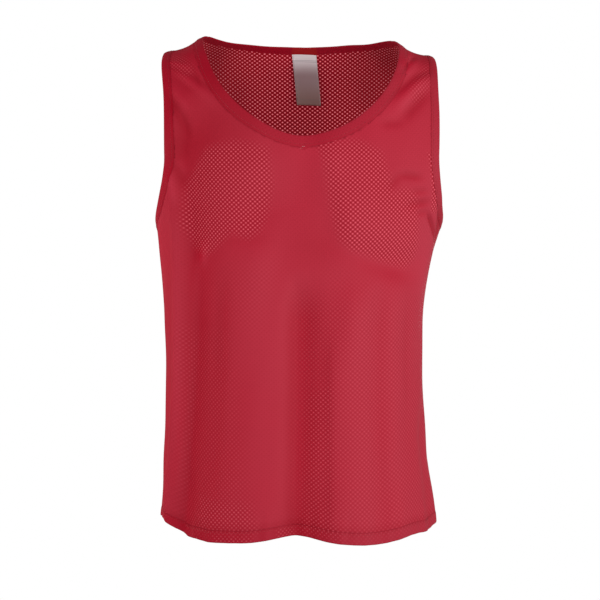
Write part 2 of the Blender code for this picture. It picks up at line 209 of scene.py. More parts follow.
@dataclass(frozen=True)
class Crease:
    """A short crease on one panel, from start to end as (across, run)."""

    name: str
    panel: Panel
    start: Place
    end: Place
    width: float
    depth: float


def creases(panel: Panel, *rows: tuple[str, Place, Place, float, float]) -> tuple[Crease, ...]:
    """The creases of one panel, from rows of their name, start, end, width and depth."""
    return tuple(Crease(name, panel, *sizes) for name, *sizes in rows)


CREASES = creases(
    Panel.FRONT,
    ("left strap, thin ridge", (0.160, 0.054), (0.136, 0.103), 0.0040, 0.0018),
    ("left strap, thin valley", (0.168, 0.041), (0.138, 0.105), 0.0036, -0.0028),
    ("left strap, narrow ridge", (0.172, 0.053), (0.132, 0.122), 0.0050, 0.0014),
    ("left strap, upper valley", (0.191, 0.059), (0.120, 0.145), 0.0056, -0.0030),
    ("left strap, broad ridge", (0.186, 0.078), (0.120, 0.163), 0.0095, 0.0034),
    ("left strap, lower valley", (0.182, 0.101), (0.134, 0.172), 0.0080, -0.0026),
    ("left strap, foot", (0.138, 0.170), (0.104, 0.181), 0.0070, -0.0016),
    ("left chest, hook", (0.113, 0.260), (0.133, 0.239), 0.0056, -0.0017),
    ("left armpit, upper valley", (0.128, 0.240), (0.168, 0.237), 0.0050, -0.0024),
    ("left armpit, faint valley", (0.150, 0.259), (0.178, 0.253), 0.0040, -0.0017),
    ("left armpit, lower valley", (0.140, 0.278), (0.186, 0.266), 0.0048, -0.0028),
    ("left armpit, pinch's start", (0.158, 0.286), (0.180, 0.281), 0.0036, -0.0018),
    ("left armpit, pinch", (0.178, 0.280), (0.222, 0.318), 0.0042, -0.0048),
    ("left armpit, under the arm", (0.206, 0.262), (0.236, 0.330), 0.0090, -0.0030),
    ("right strap, first ridge", (-0.188, 0.053), (-0.152, 0.096), 0.0045, 0.0016),
    ("right strap, first valley", (-0.190, 0.058), (-0.118, 0.137), 0.0040, -0.0017),
    ("right strap, long ridge", (-0.180, 0.076), (-0.102, 0.165), 0.0060, 0.0018),
    ("right strap, second valley", (-0.184, 0.080), (-0.144, 0.129), 0.0036, -0.0013),
    ("right strap, upper ridge", (-0.143, 0.088), (-0.125, 0.122), 0.0045, 0.0014),
    ("right strap, upper valley", (-0.150, 0.084), (-0.133, 0.124), 0.0036, -0.0011),
    ("right strap, lower ridge", (-0.182, 0.099), (-0.148, 0.152), 0.0040, 0.0014),
    ("right strap, lower valley", (-0.184, 0.112), (-0.151, 0.182), 0.0050, -0.0036),
    ("right armhole, valley", (-0.177, 0.182), (-0.179, 0.214), 0.0040, -0.0019),
    ("right armhole, bulge", (-0.170, 0.208), (-0.160, 0.232), 0.0080, 0.0010),
    ("right armpit, valley", (-0.178, 0.210), (-0.161, 0.253), 0.0045, -0.0020),
    ("right armpit, ridge", (-0.184, 0.221), (-0.172, 0.274), 0.0060, 0.0026),
    ("right chest, ledge", (-0.108, 0.322), (-0.036, 0.324), 0.0080, -0.0006),
    ("right chest, point", (-0.132, 0.322), (-0.140, 0.358), 0.0080, 0.0026),
    ("right flank, line", (-0.106, 0.365), (-0.116, 0.520), 0.0075, -0.0008),
    ("left flank, line", (0.152, 0.400), (0.150, 0.560), 0.0070, -0.0008),
) + creases(
    Panel.BACK,
    ("back left strap fan", (0.182, -0.070), (0.138, -0.150), 0.0080, -0.0014),
    ("back right strap fan", (-0.186, -0.062), (-0.134, -0.138), 0.0080, -0.0014),
    ("back left blade", (0.176, -0.190), (0.122, -0.240), 0.0090, -0.0014),
    ("back right blade", (-0.180, -0.206), (-0.128, -0.246), 0.0090, -0.0015),
    ("back left armpit", (0.196, -0.272), (0.150, -0.300), 0.0080, -0.0016),
    ("back right armpit", (-0.200, -0.280), (-0.146, -0.296), 0.0080, -0.0016),
    ("back waist", (-0.060, -0.410), (0.040, -0.440), 0.0140, -0.0012),
)


@dataclass(frozen=True)
class ShadingPatch:
    """A soft area of painted shade, or of painted light when depth is below 0."""

    name: str
    place: Place
    reach: Pair
    depth: float


# Painted shading on the outside, where depth adds to the painted shadow.
SHADING_PATCHES = (
    ShadingPatch("below the neck, right", (-0.088, 0.178), (0.062, 0.054), 1.15),
    ShadingPatch("right collar", (-0.108, 0.120), (0.026, 0.034), 1.3),
    ShadingPatch("right armhole", (-0.166, 0.186), (0.015, 0.036), 1.7),
    ShadingPatch("below the mitre", (0.012, 0.204), (0.034, 0.034), -1.3),
    ShadingPatch("below the neck, left", (0.092, 0.168), (0.064, 0.040), -1.5),
    ShadingPatch("left strap, top", (0.146, 0.062), (0.018, 0.032), -2.2),
    ShadingPatch("left strap, tip", (0.186, 0.050), (0.016, 0.026), 1.6),
    ShadingPatch("left of the mitre", (0.044, 0.212), (0.034, 0.034), -1.1),
    ShadingPatch("left chest", (0.108, 0.268), (0.045, 0.030), 0.7),
    ShadingPatch("right armpit", (-0.170, 0.275), (0.012, 0.050), 1.0),
    ShadingPatch("right side", (-0.240, 0.335), (0.036, 0.075), -2.0),
    ShadingPatch("right side, strands", (-0.178, 0.500), (0.009, 0.150), -1.1),
    ShadingPatch("left side", (0.198, 0.390), (0.024, 0.115), -1.3),
    ShadingPatch("left chest, side", (0.150, 0.325), (0.030, 0.040), -0.5),
    ShadingPatch("right ribs", (-0.132, 0.385), (0.018, 0.055), -0.7),
    ShadingPatch("right of the middle", (-0.070, 0.420), (0.045, 0.100), -0.5),
    ShadingPatch("left of the middle", (0.026, 0.335), (0.045, 0.026), 0.8),
    ShadingPatch("right hip", (-0.152, 0.640), (0.050, 0.110), 0.7),
    ShadingPatch("hem, middle", (0.004, 0.712), (0.026, 0.048), 1.5),
    ShadingPatch("left armpit", (0.226, 0.306), (0.010, 0.022), 2.4),
    ShadingPatch("right trough", (-0.128, 0.470), (0.034, 0.190), 1.0),
    ShadingPatch("right chest", (-0.134, 0.230), (0.046, 0.060), 0.7),
    ShadingPatch("hem, right", (-0.140, 0.705), (0.040, 0.045), 1.0),
    ShadingPatch("right shoulder seam", (-0.180, 0.000), (0.050, 0.010), 2.2),
    ShadingPatch("left shoulder seam", (0.184, 0.000), (0.044, 0.009), 1.8),
)
# Painted shading on the inside of the back, where depth adds to the share of painted shade there.
INSIDE_SHADING_PATCHES = (
    ShadingPatch("right shoulder", (-0.128, -0.080), (0.028, 0.060), 0.36),
    ShadingPatch("left shoulder", (0.134, -0.076), (0.030, 0.060), 0.34),
    ShadingPatch("right side, below", (-0.092, -0.132), (0.022, 0.036), 0.20),
    ShadingPatch("left side, below", (0.096, -0.128), (0.022, 0.036), 0.20),
    ShadingPatch("middle", (0.006, -0.165), (0.080, 0.070), -0.25),
    ShadingPatch("under the band", (0.000, -0.080), (0.085, 0.022), -0.12),
)


def patch_shading(cloth: Array, tones: Sequence[ShadingPatch]) -> Array:
    """How much painted shade a table of soft areas adds at each point.

    Args:
        cloth: rows of (across, run).
        tones: the soft areas.

    Returns:
        What they add at each point.
    """
    depth = np.zeros(len(cloth))
    for tone in tones:
        apart = ((cloth - tone.place) / tone.reach) ** 2
        depth += tone.depth * np.exp(-apart.sum(axis=1))
    return depth


@dataclass(frozen=True)
class Wave:
    """One wave over the cloth, in radians for each metre across and down.

    swing is a slow wave by which its own place swings to and fro: its size, across and run.
    """

    size: float
    across: float
    run: float
    start: float = 0.0
    swing: tuple[float, float, float] = (0.0, 0.0, 0.0)


RIPPLES = (Wave(1.0, 71, 33, swing=(1.3, 0, 19)), Wave(1.0, -47, 61, 2.1), Wave(0.6, 128, 39, 0.7))
PUCKERS = (Wave(1.0, 247, 0, swing=(0.9, 31, 0)), Wave(0.8, 391, 60, 1.1), Wave(0.7, 163, 0, 2.0))


def waved(across: Array, run: Array, waves: Sequence[Wave]) -> Array:
    """The sum of a table of waves at each point.

    Args:
        across: distances from the centre line.
        run: distances from the shoulder seam.
        waves: the waves.

    Returns:
        The height at each point.
    """
    height = np.zeros(len(run))
    for wave in waves:
        size, *slow = wave.swing
        turn = wave.across * across + wave.run * run + wave.start
        height += wave.size * np.sin(turn + size * np.sin(slow[0] * across + slow[1] * run))
    return height


def natural_spline(knots: Array, values: Array, places: Array) -> Array:
    """Read a smooth curve through a table's values.

    Args:
        knots: rising positions of the table's rows.
        values: the table's values there.
        places: where the curve is read.

    Returns:
        The curve's values at those places.
    """
    step = np.diff(knots)
    slope = np.diff(values) / step
    count = len(knots)
    system = np.eye(count)
    right = np.zeros(count)
    for i in range(1, count - 1):
        system[i, i - 1 : i + 2] = step[i - 1], 2 * (step[i - 1] + step[i]), step[i]
        right[i] = 6 * (slope[i] - slope[i - 1])
    bend = np.linalg.solve(system, right)
    i = np.clip(np.searchsorted(knots, places) - 1, 0, count - 2)
    h, t = step[i], places - knots[i]
    first = slope[i] - h * (2 * bend[i] + bend[i + 1]) / 6
    return values[i] + t * (first + t * (bend[i] / 2 + t * (bend[i + 1] - bend[i]) / (6 * h)))


def soft_step(value: Array) -> Array:
    """A smooth rise from 0 to 1 as value goes from 0 to 1."""
    held = np.clip(value, 0, 1)
    return held**2 * (3 - 2 * held)


def bell(distance: Array, width: Array | float) -> Array:
    """A smooth hump, 1 in its middle and nearly nothing at twice its width."""
    return np.exp(-((distance / width) ** 2))


def beside_line(x: Array, y: Array, line: Array) -> tuple[Array, Array]:
    """How far along a line each point lies, from its start, and how far to its side."""
    reach = np.hypot(*line)
    return (x * line[0] + y * line[1]) / reach, (x * line[1] - y * line[0]) / reach


def square_to(
    surface: Callable[[Array, Array], Array], across: Array, run: Array, place: Array, step: float
) -> Array:
    """Unit vectors square to a surface, from short steps inwards and upwards on the cloth.

    Args:
        surface: gives rows of (x, y, z) for across and run.
        across: where the vectors are wanted.
        run: likewise.
        place: the surface there.
        step: how long the steps are.

    Returns:
        Rows of (x, y, z).
    """
    inwards, upwards = np.where(across >= 0, -1, 1), np.where(run > 0, -1, 1)
    beside = (surface(across + step * inwards, run) - place) * inwards[:, None]
    above = (surface(across, run + step * upwards) - place) * upwards[:, None]
    normal = np.cross(above, beside)
    return normal / np.linalg.norm(normal, axis=1)[:, None]


@dataclass(frozen=True)
class WornForm:
    """The form that the cloth takes on the figure, with its folds and creases."""

    quarter: float = 0.26  # a quarter of the nominal girth
    body_length: float = 0.719  # shoulder seam to hem
    armhole_run: float = 0.2995
    fold_fade: float = 0.070  # length over which a large fold grows from nothing
    crease_fade: float = 0.5  # share of a crease over which it grows likewise
    crease_end: float = 0.25  # and how far it has grown at its ends
    arc_samples: int = 150
    nudge: float = 2e-4  # step on the cloth by which the form's slope is felt
    shade_nudge: float = 0.0015  # and a longer one for its painted shade
    feeler: float = 0.001  # a short way outwards
    ripple_depth: float = 0.00035
    pucker_depth: float = 0.00045
    pucker_reach: float = 0.030
    ditch_depth: float = 0.0005  # the cloth dips along the side and shoulder seams
    ditch_width: float = 0.0030
    ditch_above: float = 0.01  # how far above the armhole's foot the side ditch starts
    hem_lift_power: int = 6  # how late the hem's waves start on their way down
    painted_light_way: tuple[float, float, float] = (0.36, 0.31, -0.63)  # the way the cloth faces where its painted light is strongest
    trough_painted_shade: float = 12.0  # painted shade added for each metre of a trough's depth
    # painted shade on level cloth that faces square to that way
    painted_shade_base: float = 0.61
    # Painted shadow grows by one step over each of these depths of a fold or a crease.
    trough_range: float = 0.032  # from the highest ridge to the deepest trough
    crease_range: float = 0.0013
    level_dark: float = 1.5  # painted shadow where the cloth is level
    # the most painted shadow
    most_dark: float = 4.0

    def column(self, run: Array, pick: str, place: int, back: str | None = None) -> Array:
        """Read one column of LEVELS as a curve from the back hem to the front hem.

        Args:
            run: where it is read.
            pick: the field of a level used on the front.
            place: which number of that field.
            back: the field used on the back, if it is another one.

        Returns:
            The column's value at each run.
        """
        down = np.array([(row.run, getattr(row, pick)[place]) for row in LEVELS])
        up = np.array([(-row.run, getattr(row, back or pick)[place]) for row in LEVELS[:0:-1]])
        knots, values = np.concatenate([up, down]).T
        return natural_spline(knots, values, run)

    def arcs(self, run: Array, leftward: Array) -> tuple[Array, Array]:
        """Points along each level's quarter section, and their distance from the centre line.

        Args:
            run: the levels.
            leftward: which of them are read on the wearer's left.

        Returns:
            The points of each level, and their distances along it.
        """
        side, side_z = (
            np.where(leftward, self.column(run, "left", k), self.column(run, "right", k))
            for k in (0, 1)
        )
        middle_y, middle_z, square = (self.column(run, "front", k, "back") for k in (0, 1, 2))
        turn = np.linspace(0, math.pi / 2, self.arc_samples)
        out = np.sin(turn) ** (2 / square[:, None])
        inward = np.maximum(np.cos(turn), 0) ** (2 / square[:, None])
        x = side[:, None] * out
        y = middle_y[:, None] * inward
        z = middle_z[:, None] + (side_z - middle_z)[:, None] * out**2
        steps = np.sqrt(np.diff(x) ** 2 + np.diff(y) ** 2 + np.diff(z) ** 2)
        length = np.concatenate([np.zeros((len(run), 1)), np.cumsum(steps, axis=1)], axis=1)
        return np.stack([x, y, z], axis=2), length

    def quarter_girth(self, run: Sequence[float] | Array, hand: Hand) -> Array:
        """Distance from the centre line to the side seam along one level."""
        run = np.atleast_1d(np.asarray(run, float))
        return self.arcs(run, np.full(len(run), hand is Hand.LEFT))[1][:, -1]

    def smooth(self, across: Array, run: Array) -> tuple[Array, Array]:
        """The form without folds: places in space, and across in quarter girths.

        Args:
            across: distances from the centre line.
            run: distances from the shoulder seam.

        Returns:
            Rows of (x, y, z), and across over the quarter girth there.
        """
        leftward = across >= 0
        points, length = self.arcs(run, leftward)
        reach = np.minimum(np.abs(across), length[:, -1])
        rows = np.arange(len(run))
        i = np.clip((length < reach[:, None]).sum(axis=1), 1, self.arc_samples - 1)
        share = (reach - length[rows, i - 1]) / (length[rows, i] - length[rows, i - 1])
        found = points[rows, i - 1] + share[:, None] * (points[rows, i] - points[rows, i - 1])
        found[:, 0] *= np.where(leftward, 1, -1)
        return found, across / length[:, -1]

    def beside(self, girth: Array, place: float) -> Array:
        """Distance round the girth from a place, positive towards the wearer's left."""
        half = 2 * self.quarter
        return (girth - place + half) % (2 * half) - half

    def girth(self, around: Array, run: Array) -> Array:
        """Place round the nominal girth, from across in quarter girths."""
        back = np.where(around >= 0, 2 - around, -2 - around)
        return np.where(run >= 0, around, back) * self.quarter

    def fold_depth(self, girth: Array, run: Array) -> Array:
        """How far the large folds move the cloth outwards.

        Args:
            girth: places round the nominal girth.
            run: distances from the shoulder seam.

        Returns:
            A depth for each point, in metres.
        """
        depth = np.zeros(len(run))
        for fold in FOLDS:
            line = np.array(fold.low) - fold.top
            reach = np.hypot(*line)
            along, apart = beside_line(self.beside(girth, fold.top[0]), np.abs(run) - fold.top[1], line)
            apart = apart - fold.bow * 4 * (along / reach) * (1 - along / reach)
            width = np.where(apart > 0, fold.widths[1], fold.widths[0])
            ends = soft_step(along / self.fold_fade + 0.5)
            ends = ends * soft_step((reach - along) / self.fold_fade + 0.5)
            depth += fold.depth * ends * bell(apart, width)
        return depth

    def fold_height(self, across: Array, run: Array) -> Array:
        """How far the large folds move the cloth outwards, from places on the flat cloth."""
        return self.fold_depth(self.girth(self.smooth(across, run)[1], run), run)

    def gather_depth(self, across: Array, run: Array) -> Array:
        """How far the gathers at the shoulder seams move the cloth outwards.

        Args:
            across: distances from the centre line.
            run: distances from the shoulder seam.

        Returns:
            A depth for each point, in metres.
        """
        depth = np.zeros(len(run))
        for gather in GATHERS:
            apart = (across - gather.across) / gather.width
            depth += gather.depth * np.exp(-(apart**2) - (run / gather.reach) ** 2)
        return depth

    def crease_depth(self, across: Array, run: Array) -> Array:
        """How far the short creases move the cloth outwards.

        Args:
            across: distances from the centre line.
            run: distances from the shoulder seam.

        Returns:
            A depth for each point, in metres.
        """
        depth = np.zeros(len(run))
        for crease in CREASES:
            line = np.array(crease.end) - crease.start
            along, apart = beside_line(across - crease.start[0], run - crease.start[1], line)
            share = along / np.hypot(*line)
            ends = soft_step(share / self.crease_fade + self.crease_end)
            ends = ends * soft_step((1 - share) / self.crease_fade + self.crease_end)
            here = run * crease.panel.value > 0
            depth += here * crease.depth * ends * bell(apart, crease.width)
        return depth

    def surface_detail(self, across: Array, run: Array, quarter: Array) -> Array:
        """Faint unevenness of the cloth, puckers at the hem, and ditches along the seams.

        Args:
            across: distances from the centre line.
            run: distances from the shoulder seam.
            quarter: the quarter girth at each point.

        Returns:
            A depth for each point, in metres.
        """
        down = np.abs(run)
        ripple = self.ripple_depth * waved(across, run, RIPPLES)
        near_hem = bell(self.body_length - down, self.pucker_reach)
        pucker = self.pucker_depth * near_hem * waved(across, down, PUCKERS)
        at_side = down > self.armhole_run - self.ditch_above
        side = np.where(at_side, bell(quarter - np.abs(across), self.ditch_width), 0)
        return ripple + pucker - self.ditch_depth * (side + bell(run, self.ditch_width))

    def shade(self, cloth: Array) -> Array:
        """How much painted shade the colour has, from 0 to 1: least where the cloth faces one way, as if lit
        from there, and more in the troughs.

        Args:
            cloth: rows of (across, run).

        Returns:
            A number for each row.
        """
        cloth = np.asarray(cloth, float)
        across, run = cloth.T
        place = self.worn(cloth)

        def surface(across: Array, run: Array) -> Array:
            """The worn cloth."""
            return self.worn(np.stack([across, run], axis=1))

        normal = square_to(surface, across, run, place, self.shade_nudge)
        normal *= np.sign((normal * self.outwards(cloth, place)).sum(axis=1))[:, None]
        # Painted light by the way the cloth faces; painted shade in the troughs is added below.
        pale = np.abs(normal[:, 1]) * self.painted_light_way[1] + normal[:, 0] * self.painted_light_way[0] + normal[:, 2] * self.painted_light_way[2]
        height = self.fold_height(across, run)
        return np.clip(self.painted_shade_base - pale - self.trough_painted_shade * height, 0, 1)

    def painted_shadow(self, cloth: Array) -> Array:
        """How much painted shadow the cloth has: about 1 on a ridge, 2 in a trough, and more in sharp
        creases, with the painted shading patches added.

        Args:
            cloth: rows of (across, run).

        Returns:
            A number for each row.
        """
        across, run = cloth.T
        depth = self.level_dark - self.fold_height(across, run) / self.trough_range
        depth = depth - self.crease_depth(across, run) / self.crease_range
        return np.clip(depth + patch_shading(cloth, SHADING_PATCHES), 0, self.most_dark)

    def worn(self, cloth: Array, outside: Array | float = 0.0) -> Array:
        """Bend cloth coordinates round the figure.

        Args:
            cloth: rows of (across, run).
            outside: how far outwards of the cloth's middle each point lies.

        Returns:
            Rows of (x, y, z).
        """
        across, run = np.asarray(cloth, float).T
        place, around = self.smooth(across, run)
        outward = square_to(lambda *at: self.smooth(*at)[0], across, run, place, self.nudge)
        girth = self.girth(around, run)
        quarter = across / np.where(np.abs(around) < 1e-9, 1, around)
        depth = self.fold_depth(girth, run) + self.crease_depth(across, run) + self.gather_depth(across, run)
        depth = depth + self.surface_detail(across, run, np.abs(quarter)) + outside
        lift = np.zeros(len(run))
        for wave in HEM_WAVES:
            share = bell(self.beside(girth, wave.girth), wave.width)
            lift += wave.rise * share * (run / self.body_length) ** self.hem_lift_power
        return place + outward * depth[:, None] + lift[:, None] * (0, 0, 1)

    def outwards(self, cloth: Array, place: Array, outside: float = 0.0) -> Array:
        """The short ways outwards from places of the worn cloth that lie `outside` of its middle."""
        return self.worn(cloth, outside + self.feeler) - place


# ---------------------------- the pattern, laid flat
def resampled(points: Array, spacing: float, count: int | None = None) -> Array:
    """The same line with evenly spaced points, its ends kept.

    Args:
        points: the line's points.
        spacing: the distance wanted between points.
        count: how many steps to make, if that is set.

    Returns:
        The new points.
    """
    points = np.asarray(points, float)
    length = np.concatenate([[0], np.cumsum(np.hypot(*np.diff(points, axis=0).T))])
    count = count or max(2, round(length[-1] / spacing))
    places = np.linspace(0, length[-1], count + 1)
    return np.stack([np.interp(places, length, points[:, k]) for k in (0, 1)], axis=1)


def sideways(line: Array, away_from: Place, closed: bool = False) -> Array:
    """Unit vectors square to a line, pointing away from a place.

    Args:
        line: the line's points.
        away_from: the place that they point away from.
        closed: whether the line's ends meet.

    Returns:
        A vector for each point.
    """
    if closed:
        along = np.roll(line, -1, axis=0) - np.roll(line, 1, axis=0)
    else:
        along = np.gradient(line, axis=0)
    along /= np.hypot(*along.T)[:, None]
    square = np.stack([-along[:, 1], along[:, 0]], axis=1)
    return square if ((line - away_from) * square).sum() > 0 else -square


def inside(points: Array, outline: Array) -> Array:
    """Which points lie inside a closed outline.

    Args:
        points: rows of (across, run).
        outline: the outline's corners.

    Returns:
        Whether each point is inside.
    """
    x, y = points.T
    found = np.zeros(len(points), bool)
    for (x0, y0), (x1, y1) in zip(outline, np.roll(outline, -1, axis=0)):
        if y0 != y1:
            crosses = ((y0 > y) != (y1 > y)) & (x < (x1 - x0) * (y - y0) / (y1 - y0) + x0)
            found ^= crosses
    return found


def clearance(points: Array, outline: Array) -> Array:
    """Each point's distance from a closed outline.

    Args:
        points: rows of (across, run).
        outline: the outline's corners.

    Returns:
        A distance for each point.
    """
    nearest = np.full(len(points), np.inf)
    for start, end in zip(outline, np.roll(outline, -1, axis=0)):
        line = end - start
        share = np.clip(((points - start) @ line) / max(line @ line, 1e-12), 0, 1)
        nearest = np.minimum(nearest, np.hypot(*(points - start - share[:, None] * line).T))
    return nearest


@dataclass(frozen=True)
class Pattern:
    """The flat cut of the bib: the lines along which its pieces are sewn."""

    form: WornForm
    binding_width: float = 0.0125
    hem_width: float = 0.0145
    neck_half_width: float = 0.1513
    neck_centres: Pair = (0.005, 0.001)  # front, back
    neck_widest_run: float = 0.035
    neck_drops: Pair = (0.2170, 0.0865)  # front, back
    neck_roundness: float = 1.90
    neck_lean: float = 0.6  # share of the front drop over which the centre moves
    neck_samples: int = 240
    armhole_curve: float = 0.098
    armhole_samples: int = 80  # in each of its two stretches
    armhole_middle: Place = (0.4, 0.1)  # a place inside the left front armhole
    armhole_runs: tuple[float, ...] = (0.000, 0.050, 0.105, 0.155, 0.2015)
    armhole_right: tuple[float, ...] = (0.1820, 0.1865, 0.1810, 0.1752, 0.1750)
    armhole_left: tuple[float, ...] = (0.1820, 0.1880, 0.1855, 0.1813, 0.1795)
    armhole_back: tuple[float, ...] = (0.1820, 0.1860, 0.1870, 0.1860, 0.1850)

    @property
    def hem_seam(self) -> float:
        """Run of the seam where the hem is turned up."""
        return self.form.body_length - self.hem_width

    def neck(self, panel: Panel, spacing: float) -> Array:
        """The neck's cut line on one panel, from the left shoulder seam to the right.

        Args:
            panel: the front or the back.
            spacing: the distance between points.

        Returns:
            Rows of (across, run).
        """
        back_axis = self.neck_widest_run + self.neck_drops[1]
        seam = -math.asin(self.neck_widest_run / back_axis)
        ends = (seam, math.pi - seam) if panel is Panel.FRONT else (seam, -math.pi - seam)
        angle = np.linspace(*ends, self.neck_samples)
        sine, cosine = np.sin(angle), np.cos(angle)
        power = np.where(sine > 0, 2 / self.neck_roundness, 1)
        axis = np.where(sine > 0, self.neck_drops[0] - self.neck_widest_run, back_axis)
        run = self.neck_widest_run + axis * np.sign(sine) * np.abs(sine) ** power
        lean = soft_step(run / (self.neck_lean * self.neck_drops[0]))
        centre = self.neck_centres[1] + (self.neck_centres[0] - self.neck_centres[1]) * lean
        across = centre + self.neck_half_width * np.sign(cosine) * np.abs(cosine) ** power
        line = np.stack([across, run], axis=1)
        line[[0, -1], 1] = 0
        return resampled(line, spacing)

    def armhole(self, panel: Panel, hand: Hand, spacing: float) -> Array:
        """An armhole's cut line on one panel, from the side seam up to the shoulder seam.

        Args:
            panel: the front or the back.
            hand: the wearer's left or right.
            spacing: the distance between points.

        Returns:
            Rows of (across, run).
        """
        depth = self.form.armhole_run
        seam = self.form.quarter_girth([depth * panel.value], hand)[0]
        front = self.armhole_left if hand is Hand.LEFT else self.armhole_right
        halves = np.array(front if panel is Panel.FRONT else self.armhole_back)
        runs = np.array(self.armhole_runs)
        turn = np.linspace(0, math.pi / 2, self.armhole_samples)
        foot = [seam - (seam - halves[-1]) * np.sin(turn), depth - self.armhole_curve * (1 - np.cos(turn))]
        low = np.stack(foot, axis=1)
        rise = np.linspace(runs[-1], 0, self.armhole_samples)[1:]
        high = np.stack([natural_spline(runs, halves, rise), rise], axis=1)
        return resampled(np.concatenate([low, high]) * (hand.value, panel.value), spacing)

    def armhole_space(self, panel: Panel, hand: Hand) -> Place:
        """A place inside the armhole on the flat cloth, which tells its two sides apart."""
        return (hand.value * self.armhole_middle[0], panel.value * self.armhole_middle[1])

    def side_seam(self, panel: Panel, hand: Hand, top: float, low: float, spacing: float) -> Array:
        """The side seam of one panel, from run `top` down to run `low`.

        Args:
            panel: the front or the back.
            hand: the wearer's left or right.
            top: run of its top.
            low: run of its foot.
            spacing: the distance between points.

        Returns:
            Rows of (across, run).
        """
        count = max(2, round((low - top) / spacing))
        run = np.linspace(top, low, count + 1) * panel.value
        across = self.form.quarter_girth(run, hand) * hand.value
        return np.stack([across, run], axis=1)

    def level_line(self, panel: Panel, run: float, spacing: float, inset: float) -> Array:
        """A level line across one panel, from the left side seam to the right.

        Args:
            panel: the front or the back.
            run: its level.
            spacing: the distance between points.
            inset: how far it stops short of the side seams.

        Returns:
            Rows of (across, run).
        """
        left, right = (self.form.quarter_girth([run * panel.value], hand)[0] - inset for hand in Hand)
        count = round((left + right) / spacing)
        across = np.linspace(left, -right, count + 1)
        return np.stack([across, np.full(len(across), run * panel.value)], axis=1)


# -------------------------------------- shader maths
def math_method(operation: str, turned: bool = False) -> Callable[..., Signal]:
    """A method of Signal that adds one Math node and gives its result.

    Args:
        operation: what the node does.
        turned: whether the Signal comes second.

    Returns:
        The method.
    """

    def method(signal: Signal, *others: Signal | float) -> Signal:
        """Do the operation on this and any other number."""
        values = (*others, signal) if turned else (signal, *others)
        node = signal.recipe.node("ShaderNodeMath", dict(enumerate(values)), operation=operation)
        return Signal(signal.recipe, node.outputs[0])

    return method


class Signal:
    """A number that varies over a surface; arithmetic on it adds the Math nodes it needs."""

    def __init__(self, recipe: Recipe, socket: Socket) -> None:
        """Wrap a socket of a recipe's node tree."""
        self.recipe = recipe
        self.socket = socket

    __add__, __radd__ = math_method("ADD"), math_method("ADD", turned=True)
    __sub__, __rsub__ = math_method("SUBTRACT"), math_method("SUBTRACT", turned=True)
    __mul__, __rmul__ = math_method("MULTIPLY"), math_method("MULTIPLY", turned=True)
    __truediv__ = math_method("DIVIDE")
    sine, cosine = math_method("SINE"), math_method("COSINE")
    most = math_method("MAXIMUM")

    def rise(self, low: float, high: float) -> Signal:
        """A smooth rise from 0 at `low` to 1 at `high`; a fall where low is above high.

        Args:
            low: where it starts.
            high: where it ends.

        Returns:
            The new number.
        """
        ends = {"From Min": min(low, high), "From Max": max(low, high)}
        values = {"Value": self, **ends}
        node = self.recipe.node("ShaderNodeMapRange", values, interpolation_type="SMOOTHSTEP")
        found = Signal(self.recipe, node.outputs[0])
        return 1 - found if low > high else found


class Nodes:
    """A node tree, with one way to add to it."""

    def __init__(self, tree: bpy.types.NodeTree) -> None:
        """Take the tree."""
        self.tree = tree

    def node(self, kind: str, values: dict | None = None, **settings: object) -> bpy.types.Node:
        """Add a node.

        Args:
            kind: its type.
            values: what each of its inputs is fed, by name or index.
            settings: its own properties, set first.

        Returns:
            The new node.
        """
        made = self.tree.nodes.new(kind)
        for key, value in settings.items():
            setattr(made, key, value)
        for key, value in (values or {}).items():
            self.feed(made.inputs[key], value)
        return made

    def feed(self, socket: Socket, value: object) -> None:
        """Set a socket to a constant, or link another one to it.

        Args:
            socket: the input.
            value: a number, colour, Signal or socket, or a node for its first output.
        """
        if isinstance(value, bpy.types.Node):
            value = value.outputs[0]
        elif isinstance(value, Signal):
            value = value.socket
        if isinstance(value, Socket):
            self.tree.links.new(value, socket)
        elif isinstance(value, tuple) and socket.type == "RGBA":
            socket.default_value = (*value, 1)
        else:
            socket.default_value = value


class Recipe(Nodes):
    """One material being made, with short ways to what its finish needs."""

    def __init__(self, name: str) -> None:
        """Start an empty material with a Principled shader.

        Args:
            name: the material's name.
        """
        self.material = bpy.data.materials.new(name)
        self.material.use_nodes = True
        super().__init__(self.material.node_tree)
        self.tree.nodes.clear()
        self.shader = self.node("ShaderNodeBsdfPrincipled")
        self.node("ShaderNodeOutputMaterial", {"Surface": self.shader})

    def cloth_place(self) -> tuple[Signal, Signal]:
        """across and run at each point, from the piece's own cloth map, in metres."""
        split = self.node("ShaderNodeSeparateXYZ", {0: self.node("ShaderNodeUVMap", uv_map=CLOTH_MAP)})
        return Signal(self, split.outputs[0]), Signal(self, split.outputs[1])

    def attribute(self, name: str) -> Signal:
        """A number carried by the mesh."""
        node = self.node("ShaderNodeAttribute", attribute_name=name)
        return Signal(self, node.outputs["Fac"])

    def noise(self, scale: float, detail: float = 2.0) -> Signal:
        """Smooth noise from 0 to 1 on Object coordinates.

        Args:
            scale: blotches to the metre.
            detail: how many finer layers lie on them.

        Returns:
            The noise.
        """
        place = self.node("ShaderNodeTexCoord")
        values = {"Vector": place.outputs["Object"], "Scale": scale, "Detail": detail}
        return Signal(self, self.node("ShaderNodeTexNoise", values).outputs["Fac"])

    def mixed(self, share: Signal, first: object, second: object) -> Socket:
        """A colour that goes from first to second as share goes from 0 to 1."""
        node = self.node("ShaderNodeMix", {0: share, 6: first, 7: second}, data_type="RGBA")
        return node.outputs[2]

    def relief(self, height: Signal, distance: float) -> None:
        """Give the surface a relief of `distance` metres where height is 1."""
        bump = self.node("ShaderNodeBump", {"Height": height, "Distance": distance})
        self.feed(self.shader.inputs["Normal"], bump)

    def gloss(self, **values: object) -> None:
        """Set the shader's own sockets; an underscore stands for a space."""
        for name, value in values.items():
            self.feed(self.shader.inputs[name.replace("_", " ")], value)


